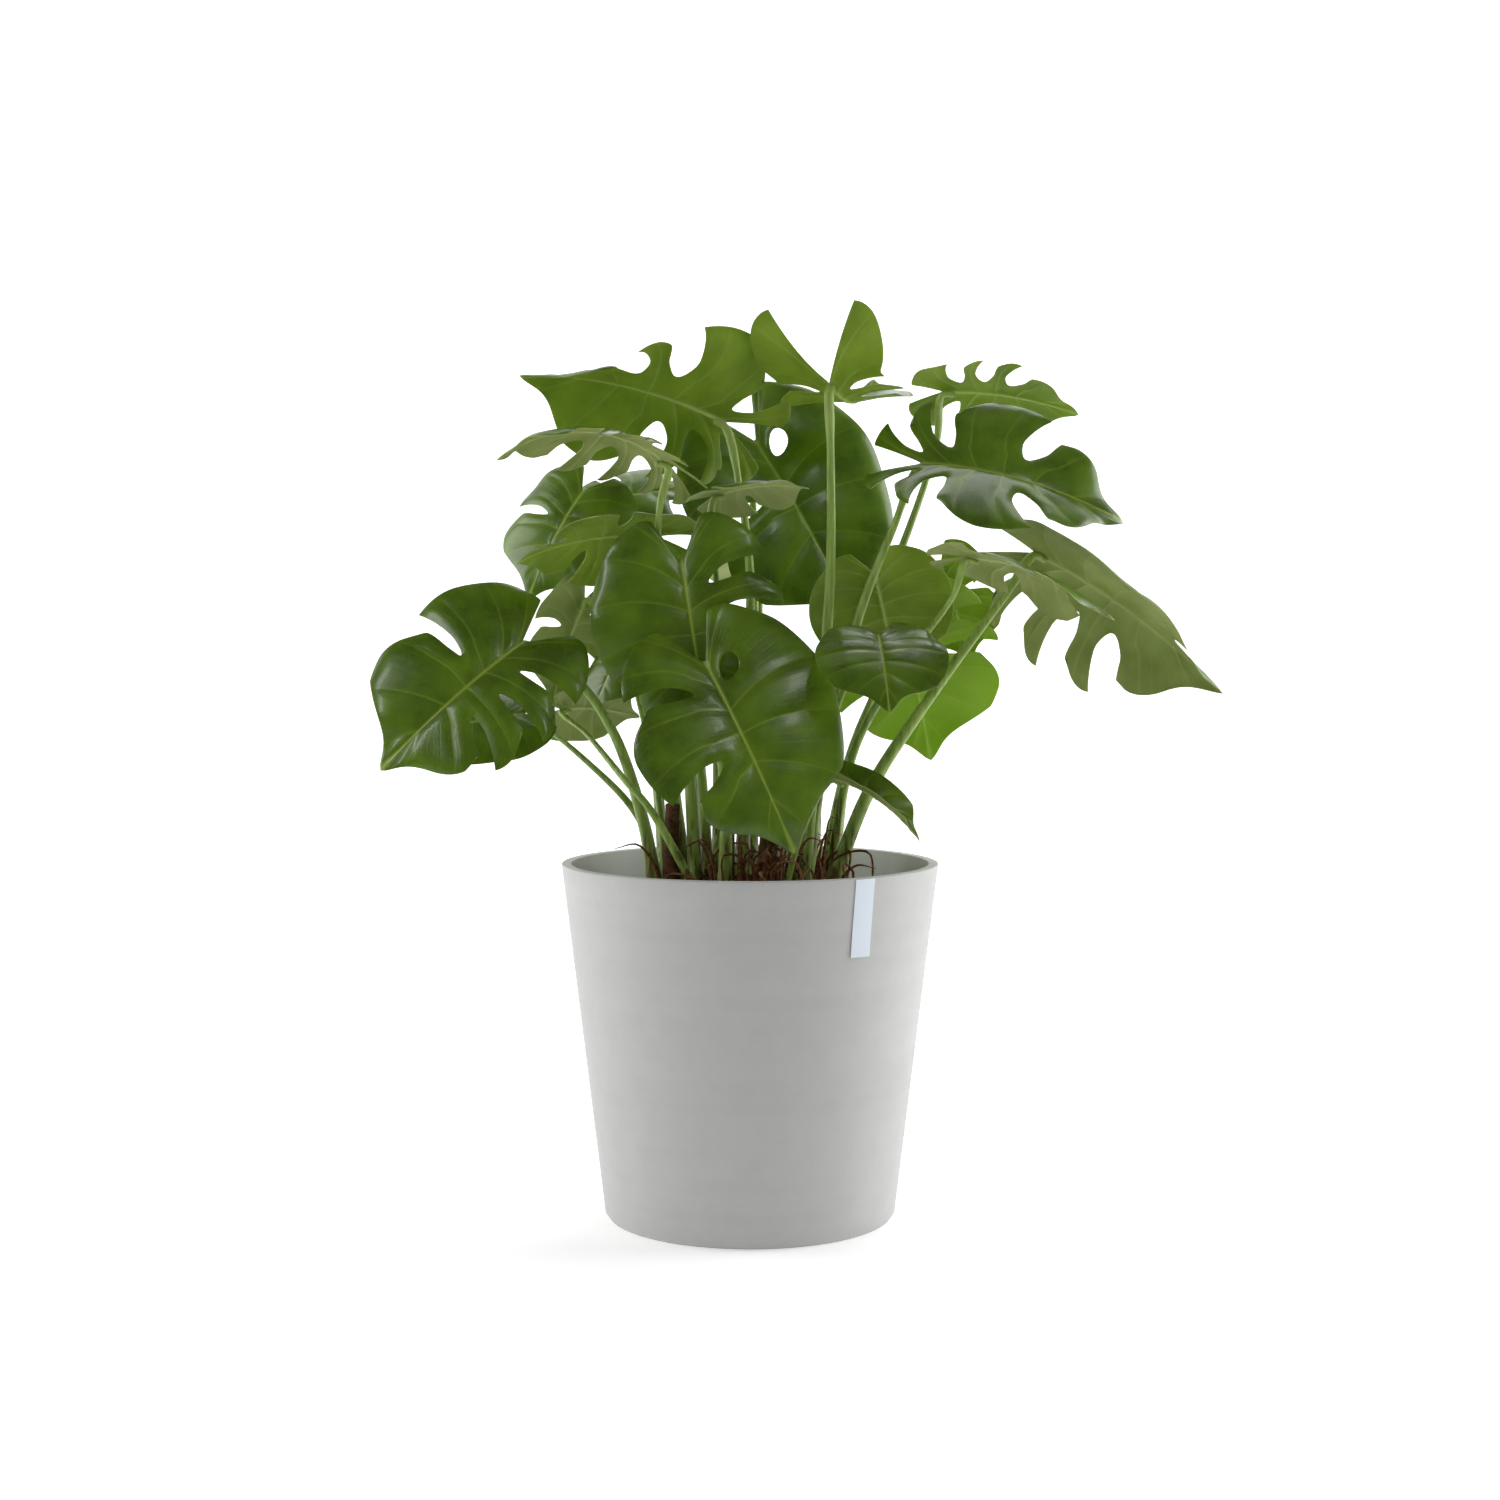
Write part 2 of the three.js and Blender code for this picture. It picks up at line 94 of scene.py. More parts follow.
def linear(code):
    """An sRGB hex colour as the linear values that shaders work in."""
    shares = [int(code[i : i + 2], 16) / 255 for i in (1, 3, 5)]
    return (*[x / 12.92 if x <= 0.04045 else ((x + 0.055) / 1.055) ** 2.4 for x in shares], 1.0)


print("mid grey is", [round(x, 3) for x in linear("#808080")])

# %% [markdown]
# A Geometry Nodes tree is a recipe with named inputs. A modifier runs it on a source mesh,
# and the result is copied out as a plain mesh, so that nothing is left to evaluate later.

# %% Starting and running a Geometry Nodes tree
def start_tree(name, **inputs):
    """An empty tree, and the outputs of its Group Input node. inputs gives, for each kind of
    socket, the names of the tree's inputs."""
    tree = bpy.data.node_groups.new(name, "GeometryNodeTree")
    tree.is_modifier = True
    tree.interface.new_socket("Geometry", in_out="INPUT", socket_type="NodeSocketGeometry")
    for kind, labels in inputs.items():
        for label in labels.split(", "):
            tree.interface.new_socket(label, in_out="INPUT", socket_type=f"NodeSocket{kind}")
    tree.interface.new_socket("Geometry", in_out="OUTPUT", socket_type="NodeSocketGeometry")
    return tree, tree.nodes.new("NodeGroupInput").outputs


def run_tree(tree, source, values):
    """Runs a tree on a source mesh and returns the result as a plain mesh."""
    worker = bpy.data.objects.new("worker", source)
    bpy.context.scene.collection.objects.link(worker)
    modifier = worker.modifiers.new(tree.name, "NODES")
    modifier.node_group = tree
    for socket in tree.interface.items_tree:
        if socket.in_out == "INPUT" and socket.name in values:
            modifier[socket.identifier] = values[socket.name]
    depsgraph = bpy.context.evaluated_depsgraph_get()
    result = bpy.data.meshes.new_from_object(worker.evaluated_get(depsgraph), depsgraph=depsgraph)
    worker.modifiers.remove(modifier)
    bpy.data.objects.remove(worker)
    return result


# %% Turning a mesh into a piece of the plant
def add_piece(name, mesh, node, crease=50):
    """Places a finished mesh as a piece that rides on the root body and replaces a CAD node."""
    mesh.name = name
    mesh.shade_smooth()
    mesh.set_sharp_from_angle(angle=math.radians(crease))
    piece = bpy.data.objects.new(name, mesh)
    bpy.context.scene.collection.objects.link(piece)
    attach(piece, "root")
    if node:
        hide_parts(node)
    return piece


def plain_mesh(name, points, faces, edges=()):
    """A mesh from lists of points, faces and edges."""
    mesh = bpy.data.meshes.new(name)
    mesh.from_pydata([tuple(p) for p in points], list(edges), list(faces))
    mesh.update()
    return mesh


def set_values(mesh, name, values):
    """Stores one number for each point of a mesh."""
    layer = mesh.attributes.new(name, "FLOAT", "POINT")
    layer.data.foreach_set("value", np.asarray(values, np.float32))


# %% Starting a material
def start_material(name):
    """A material with one Principled shader, its tree, that shader's node, and the place of
    each point of the piece."""
    made = bpy.data.materials.new(name)
    made.use_nodes = True
    tree = made.node_tree
    return made, tree, tree.nodes["Principled BSDF"], add(tree, "TexCoord", out="Object")


def set_shader(shader, **values):
    """Feeds the shader's own sockets; a space in a socket's name is written as an underscore."""
    feed(shader, [(label.replace("_", " "), value) for label, value in values.items()])


# %% [markdown]
# ## Finishes
#
# **Planter: plastic filled with stone dust, moulded.** The stone dust leaves a dry, matt skin
# with a faint mottle, and the mould leaves level bands too weak to feel. So: a light grey,
# a middling roughness, speckles of about 2 mm, and bands about 25 mm tall.

# %% Stone-filled plastic
stone_plastic, tree, shader, place = start_material("stone_filled_plastic")
mottle = add(tree, "TexNoise", {"Vector": place, "Scale": 35.0, "Detail": 5.0, "Roughness": 0.65})
speckle = add(tree, "TexNoise", {"Vector": place, "Scale": 480.0, "Detail": 3.0})
level = add(tree, "Mapping", {"Vector": place, "Scale": (1.2, 1.2, 40.0)})
bands = add(tree, "TexNoise", {"Vector": level, "Scale": 1.0, "Detail": 3.0})
blend = add(tree, "MULTIPLY_ADD", [bands, 0.3, 0.1])
blend = add(tree, "MULTIPLY_ADD", [mottle, 0.35, blend])
blend = add(tree, "MULTIPLY_ADD", [speckle, 0.15, blend])
blend = add(tree, "MapRange", [blend, 0.35, 0.65])
grey = add(tree, "Mix", {0: blend, 6: "#b2b3b1", 7: "#bcbdbb"}, 2, data_type="RGBA")
dry = add(tree, "MapRange", [speckle, 0.0, 1.0, 0.52, 0.66])
grain = add(tree, "Bump", {"Strength": 0.12, "Distance": 0.0004, "Height": speckle})
set_shader(shader, IOR=1.46, Base_Color=grey, Roughness=dry, Normal=grain)
print("made", stone_plastic.name)

# %% [markdown]
# **Soil and bark.** Potting soil is peat with bark chips: dull, dark, and broken up at every
# scale from 1 mm grit to 15 mm lumps. The bark is redder and lighter.

# %% Potting soil and bark chips
def earth(name, dark, light, grit):
    """A dull earthy finish with grit of the given size in metres."""
    made, tree, shader, place = start_material(name)
    lumps = add(tree, "TexNoise", {
        "Vector": place, "Scale": 0.5 / grit, "Detail": 8.0, "Roughness": 0.7})
    share = add(tree, "MapRange", [lumps, 0.35, 0.65])
    colour = add(tree, "Mix", {0: share, 6: dark, 7: light}, 2, data_type="RGBA")
    rough = add(tree, "MapRange", [lumps, 0.0, 1.0, 0.8, 0.98])
    relief = add(tree, "Bump", {"Strength": 0.6, "Distance": grit * 0.4, "Height": lumps})
    set_shader(shader, IOR=1.4, Base_Color=colour, Roughness=rough, Normal=relief)
    return made


potting_soil = earth("potting_soil", "#1c120b", "#4a3424", 0.003)
bark_chip = earth("bark_chip", "#3d2212", "#7d5233", 0.002)
root_skin = earth("aerial_root_skin", "#3b2011", "#8a5a35", 0.002)
stem_bark = earth("stem_bark", "#2b1a0f", "#6b4a2c", 0.004)
print("made", potting_soil.name, bark_chip.name, root_skin.name, stem_bark.name)

# %% [markdown]
# **Tag: coated card.** A smooth, cool white card with a faint satin shine.

# %% Tag card
tag_card, tree, shader, place = start_material("coated_card")
fibre = add(tree, "TexNoise", {"Vector": place, "Scale": 900.0, "Detail": 2.0})
tint = add(tree, "Mix", {0: fibre, 6: "#d3dde8", 7: "#dbe5ef"}, 2, data_type="RGBA")
satin = add(tree, "MapRange", [fibre, 0.0, 1.0, 0.4, 0.5])
set_shader(shader, IOR=1.5, Coat_Weight=0.15, Base_Color=tint, Roughness=satin)
print("made", tag_card.name)

# %% [markdown]
# ** Leaf: a living blade with a waxy cuticle.** The upper side is dark green under a clear wax
# that shines, with yellow-green veins pressed into it. The underside has no wax, so it is
# paler, greyer and matt. A blade is under a millimetre thick, so some light comes through it
# from behind, which a Translucent shader mixed with the Principled one gives. The newest
# leaves are thinner, so they look greener and let more through. High leaves with the light
# behind them get a lit copy of the underside finish: its colour is painted lighter and
# greener as a painted glow of that backlight, and it lets more light through.
#
# The blades carry two numbers for this at each point: how near a vein is, and where the
# point lies in the fan of veins. Minor veins are drawn from the fan, 34 of them to a half.

# %% Blade finishes
def blade_finish(name, dark, light, vein_colour, glow, share_glow, rough, minor_strength, wax):
    """One side of a blade. share_glow is the share of light that comes through from behind."""
    made, tree, shader, place = start_material(name)
    vein = add(tree, "Attribute", out="Fac", attribute_name="vein")
    fan_s = add(tree, "Attribute", out="Fac", attribute_name="fan_s")
    patches = add(tree, "TexNoise", {"Vector": place, "Scale": 22.0, "Detail": 4.0})
    cells = add(tree, "TexVoronoi", {"Vector": place, "Scale": 320.0}, feature="DISTANCE_TO_EDGE")
    wander = add(tree, "MULTIPLY", [patches, 1.6])
    stripe = add(tree, "MULTIPLY_ADD", [fan_s, 34.0, wander])
    stripe = add(tree, "PINGPONG", [stripe, 0.5])
    minor = add(tree, "MapRange", [stripe, 0.0, 0.12, 1.0, 0.0])
    base = add(tree, "MapRange", [patches, 0.35, 0.65])
    green = add(tree, "Mix", {0: base, 6: dark, 7: light}, 2, data_type="RGBA")
    faint = add(tree, "MULTIPLY", [minor, minor_strength])
    green = add(tree, "Mix", {0: faint, 6: green, 7: vein_colour}, 2, data_type="RGBA")
    green = add(tree, "Mix", {0: vein, 6: green, 7: vein_colour}, 2, data_type="RGBA")
    gloss = add(tree, "MapRange", [patches, 0.0, 1.0, rough - 0.06, rough + 0.08])
    raised = add(tree, "MULTIPLY_ADD", [minor, -0.5, cells])
    relief = add(tree, "Bump", {"Strength": 0.25, "Distance": 0.0006, "Height": raised})
    set_shader(shader, IOR=1.45, Coat_Weight=wax, Coat_Roughness=0.12)
    set_shader(shader, Base_Color=green, Roughness=gloss, Normal=relief)
    through = add(tree, "BsdfTranslucent", {"Color": glow})
    both = add(tree, "MixShader", [share_glow, shader.outputs[0], through])
    feed(tree.nodes["Material Output"], [("Surface", both)])
    return made


mature_top = blade_finish(
    "mature_blade_upper", "#435c09", "#607e10", "#a0b646", "#9cc41c", 0.18, 0.28, 0.05, 0.2)
mature_under = blade_finish(
    "mature_blade_underside", "#828f4a", "#9ca962", "#bcc884", "#a0bc40", 0.2, 0.55, 0.10, 0.0)
# A lit copy of the mature underside for high leaves with the light behind them: its colours are
# painted lighter and greener, a painted glow of the backlight.
backlit_under = blade_finish(
    "backlit_blade_underside", "#73881c", "#97ac34", "#c6d480", "#b8dc24", 0.42, 0.5, 0.10, 0.0)
young_top = blade_finish(
    "young_blade_upper", "#647e0c", "#789412", "#b0c03f", "#b0d81c", 0.42, 0.38, 0.05, 0.1)
young_under = blade_finish(
    "young_blade_underside", "#869c34", "#9aae44", "#c0ce70", "#b0d81c", 0.42, 0.5, 0.1, 0.0)
print("made", *[made.name for made in (
    mature_top, mature_under, backlit_under, young_top, young_under)])

# %% [markdown]
# The cut edge of a blade has no green tissue in it and shows as a thin, pale, waxy line.
# Stalks are smooth and green, with brown scars and streaks near the foot.

# %% Blade margin and stalk skin
margin_wax, tree, shader, place = start_material("blade_margin")
patches = add(tree, "TexNoise", {"Vector": place, "Scale": 60.0})
colour = add(tree, "Mix", {0: patches, 6: "#7f9a45", 7: "#a8b86a"}, 2, data_type="RGBA")
gloss = add(tree, "MapRange", [patches, 0.0, 1.0, 0.35, 0.5])
set_shader(shader, IOR=1.45, Base_Color=colour, Roughness=gloss)

stalk_skin, tree, shader, place = start_material("stalk_skin")
along = add(tree, "Attribute", out="Fac", attribute_name="along")
streaks = add(tree, "Mapping", {"Vector": place, "Scale": (220.0, 220.0, 14.0)})
streaks = add(tree, "TexNoise", {"Vector": streaks, "Scale": 1.0, "Detail": 4.0})
freckles = add(tree, "TexNoise", {"Vector": place, "Scale": 160.0, "Detail": 2.0})
share = add(tree, "MapRange", [streaks, 0.3, 0.7])
green = add(tree, "Mix", {0: share, 6: "#68852a", 7: "#93ad52"}, 2, data_type="RGBA")
pale = add(tree, "MapRange", [along, 0.82, 0.97, 0.0, 0.55])
green = add(tree, "Mix", {0: pale, 6: green, 7: "#9db35c"}, 2, data_type="RGBA")
low = add(tree, "MapRange", [along, 0.02, 0.4, 0.62, 0.38])
scar = add(tree, "SUBTRACT", [low, streaks])
scar = add(tree, "MapRange", [scar, 0.04, 0.14, 0.0, 0.85])
green = add(tree, "Mix", {0: scar, 6: green, 7: "#5a3a1e"}, 2, data_type="RGBA")
rough = add(tree, "MapRange", [freckles, 0.0, 1.0, 0.38, 0.55])
relief = add(tree, "Bump", {"Strength": 0.3, "Distance": 0.0006, "Height": streaks})
set_shader(shader, IOR=1.45, Coat_Weight=0.1, Coat_Roughness=0.3)
set_shader(shader, Base_Color=green, Roughness=rough, Normal=relief)
print("made", margin_wax.name, stalk_skin.name)

# %% [markdown]
# ## Planter
#
# The planter is round, so its section is turned about Z. The section follows the CAD part:
# a straight taper, a flat rim 12 mm wide and a rounded foot. The fine one adds what a mould
# gives: a small radius on both edges of the rim, and a shallow recess under the foot.

# %% Turning a section about Z
POT_HEIGHT, RIM_RADIUS, BASE_RADIUS, WALL, FLOOR = 0.420, 0.223, 0.172, 0.012, 0.014
TAPER = (RIM_RADIUS - BASE_RADIUS) / POT_HEIGHT


def wall_radius(z, depth=0.0):
    """The wall's radius at height z, measured depth inside its outer face."""
    return BASE_RADIUS + TAPER * z - depth


def rounded(corners, radius, steps=5):
    """A section's corners, each cut by a curve that starts and ends radius away from it."""
    line = [Vector(corners[0])]
    for before, here, after in zip(corners, corners[1:], corners[2:]):
        before, here, after = Vector(before), Vector(here), Vector(after)
        start = here + (before - here).normalized() * radius
        end = here + (after - here).normalized() * radius
        for i in range(steps + 1):
            t = i / steps
            line.append(start * (1 - t) ** 2 + here * 2 * t * (1 - t) + end * t**2)
    return line + [Vector(corners[-1])]


def turned(name, section, sides):
    """A closed solid from a section of (radius, height) that starts and ends on the axis."""
    points = [Vector((0, 0, section[0][1]))]
    for radius, height in section[1:-1]:
        for k in range(sides):
            turn = 2 * math.pi * k / sides
            points.append(Vector((radius * math.cos(turn), radius * math.sin(turn), height)))
    points.append(Vector((0, 0, section[-1][1])))
    last = len(points) - 1
    faces = [(0, 1 + (k + 1) % sides, 1 + k) for k in range(sides)]
    for ring in range(len(section) - 3):
        a, b = 1 + ring * sides, 1 + (ring + 1) * sides
        faces += [(a + k, a + (k + 1) % sides, b + (k + 1) % sides, b + k) for k in range(sides)]
    top = last - sides
    faces += [(top + k, top + (k + 1) % sides, last) for k in range(sides)]
    return plain_mesh(name, points, faces)


# %% The planter
section = [(0, 0.0025), (0.13, 0.0025), (0.134, 0.0)]
section += [(BASE_RADIUS - 0.0035, 0.0), (wall_radius(0.006), 0.006)]
section += [(wall_radius(z), z) for z in np.linspace(0.03, 0.40, 12)]
section += rounded([(wall_radius(0.41), 0.41), (RIM_RADIUS, POT_HEIGHT),
                    (RIM_RADIUS - WALL, POT_HEIGHT), (wall_radius(0.40, WALL), 0.40)], 0.0016)
section += [(wall_radius(0.20, WALL), 0.20), (wall_radius(FLOOR, WALL), FLOOR), (0, FLOOR)]
pot = turned("planter_shell", section, 160)
pot.materials.append(stone_plastic)
add_piece("planter_shell", pot, "planter", crease=35)
print("planter section has", len(section), "points")

# %% [markdown]
# ## Soil
#
# Soil fills the planter to 34 mm under the rim and slopes down a little at the wall. Its top
# is pushed up and down by layered noise. Crumbs and bark chips lie on it in their hundreds,
# so each is a solid of 20 faces, and a Geometry Nodes tree scatters them over the top.

# %% The soil's body
SOIL_TOP, SOIL_FLAT, SOIL_DROP = 0.386, 0.130, 0.020


def soil_height(radius):
    """The smooth height of the soil's top at a distance from the axis."""
    edge = wall_radius(SOIL_TOP - SOIL_DROP, WALL)
    return SOIL_TOP - SOIL_DROP * max(0.0, (radius - SOIL_FLAT) / (edge - SOIL_FLAT))


edge_radius = wall_radius(SOIL_TOP - SOIL_DROP, WALL) - 0.0004
section = [(0, FLOOR + 0.0003), (wall_radius(FLOOR, WALL) - 0.0004, FLOOR + 0.0003)]
section += [(r, soil_height(r)) for r in np.linspace(edge_radius, 0.004, 48)]
section += [(0, SOIL_TOP)]
body = turned("soil_body", section, 96)
for vertex in body.vertices:
    radius = vertex.co.xy.length
    if vertex.co.z > 0.3 and radius < edge_radius - 0.001:
        lumps = noise.fractal(vertex.co * 60, 0.9, 2.1, 4)
        vertex.co.z += 0.0028 * lumps - 0.0015
body.materials.append(potting_soil)
add_piece("soil_body", body, "soil", crease=180)
print("soil body has", len(body.polygons), "faces")

# %% The tree that scatters crumbs
tree, given = start_tree(
    "Scatter crumbs", Float="Density, Smallest, Largest, Flatness", Int="Seed", Material="Finish")
up = add(tree, "SeparateXYZ", [add(tree, "GeometryNodeInputNormal")], "Z")
top_side = add(tree, "FunctionNodeCompare", [up, 0.6], operation="GREATER_THAN")
spots = add(tree, "GeometryNodeDistributePointsOnFaces", {
    "Mesh": given["Geometry"], "Selection": top_side, "Density": given["Density"],
    "Seed": given["Seed"]})
crumb = add(tree, "GeometryNodeMeshIcoSphere", {"Radius": 1.0, "Subdivisions": 1})
turn = add(tree, "FunctionNodeRandomValue", {1: (6.28, 6.28, 6.28), "Seed": given["Seed"]},
           data_type="FLOAT_VECTOR")
size = add(tree, "FunctionNodeRandomValue", {
    2: given["Smallest"], 3: given["Largest"], "Seed": given["Seed"]}, 1, data_type="FLOAT")
long_side = add(tree, "MULTIPLY", [size, given["Flatness"]])
shape = add(tree, "CombineXYZ", {"X": long_side, "Y": size, "Z": size})
laid = add(tree, "GeometryNodeInstanceOnPoints", {
    "Points": spots, "Instance": crumb, "Rotation": turn, "Scale": shape})
real = add(tree, "GeometryNodeRealizeInstances", {"Geometry": laid})
where = add(tree, "GeometryNodeInputPosition")
rough = add(tree, "TexNoise", {"Vector": where, "Scale": 260.0}, "Color")
rough = add(tree, "VectorMath", [rough, (0.5, 0.5, 0.5)], operation="SUBTRACT")
rough = add(tree, "VectorMath", {0: rough, "Scale": 0.004}, operation="SCALE")
real = add(tree, "GeometryNodeSetPosition", {"Geometry": real, "Offset": rough})
done = add(tree, "GeometryNodeSetMaterial", {"Geometry": real, "Material": given["Finish"]})
add(tree, "NodeGroupOutput", [done])
crumbs_tree = tree
print("scatter tree has", len(tree.nodes), "nodes")

# %% Crumbs and bark chips
for name, density, smallest, largest, flatness, seed, finish in (
        ("soil_crumbs", 16000.0, 0.001, 0.0035, 1.3, 3, potting_soil),
        ("bark_chips", 1500.0, 0.002, 0.0045, 3.0, 8, bark_chip)):
    mesh = run_tree(crumbs_tree, body, {
        "Density": density, "Smallest": smallest, "Largest": largest, "Flatness": flatness,
        "Seed": seed, "Finish": finish})
    add_piece(name, mesh, None)
    print(name, len(mesh.polygons) // 20)

# %% [markdown]
# ## Tag
#
# A plain card strip hangs from the rim and lies on the sloping wall. It is a thin solid that
# takes up the wall's curve a little, with its lower end lifting off by a millimetre.

# %% The tag
TAG_WIDTH, TAG_LENGTH, TAG_THICKNESS = 0.026, 0.088, 0.0006
tag_low, tag_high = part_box("tag")
tag_middle = (tag_low + tag_high) / 2
heading = math.atan2(tag_middle.y, tag_middle.x)


def tag_point(across, down, layer):
    """A point of the tag; across and down run from 0 to 1, and layer is 0 inside, 1 outside."""
    z = POT_HEIGHT - 0.001 - down * TAG_LENGTH
    lift = 0.0005 + 0.0008 * down**3
    turn = heading + (across - 0.5) * TAG_WIDTH / wall_radius(z)
    radius = wall_radius(z) + lift + layer * TAG_THICKNESS
    return Vector((radius * math.cos(turn), radius * math.sin(turn), z))


columns, rows = 8, 16
points = [tag_point(i / columns, j / rows, layer)
          for layer in (0, 1) for j in range(rows + 1) for i in range(columns + 1)]
count = (columns + 1) * (rows + 1)
faces = []
for j in range(rows):
    for i in range(columns):
        a = j * (columns + 1) + i
        quad = (a, a + 1, a + columns + 2, a + columns + 1)
        faces += [quad, tuple(count + k for k in reversed(quad))]
border = [i for i in range(columns)] + [j * (columns + 1) + columns for j in range(rows)]
border += [rows * (columns + 1) + i for i in range(columns, 0, -1)]
border += [j * (columns + 1) for j in range(rows, 0, -1)]
for a, b in zip(border, border[1:] + border[:1]):
    faces.append((b, a, count + a, count + b))
card = plain_mesh("tag_card", points, faces)
card.materials.append(tag_card)
add_piece("tag_strip", card, "tag")
print("tag heads", round(math.degrees(heading)), "degrees")

# %% [markdown]
# ## Leaves
#
# Each leaf is described by where its stalk meets the blade (at), where the blade's tip is,
# which way its upper side faces, and its bends in degrees: the midrib droops, each half
# leaves the midrib at the fold angle and curls, and the blade twists about the midrib. The
# letters give the slits of each half from base to tip: d deep, s short, a dot for none.
# hole is the lobe of the left half that has a hole in it, ears makes the two lowest lobes
# longer, and open makes the slits wider. The stalk is the points it grows through, and
# thick its radius at the foot and at the blade. What a leaf doesn't say is as in USUAL.
# These are the sizes of the CAD part, in millimetres.

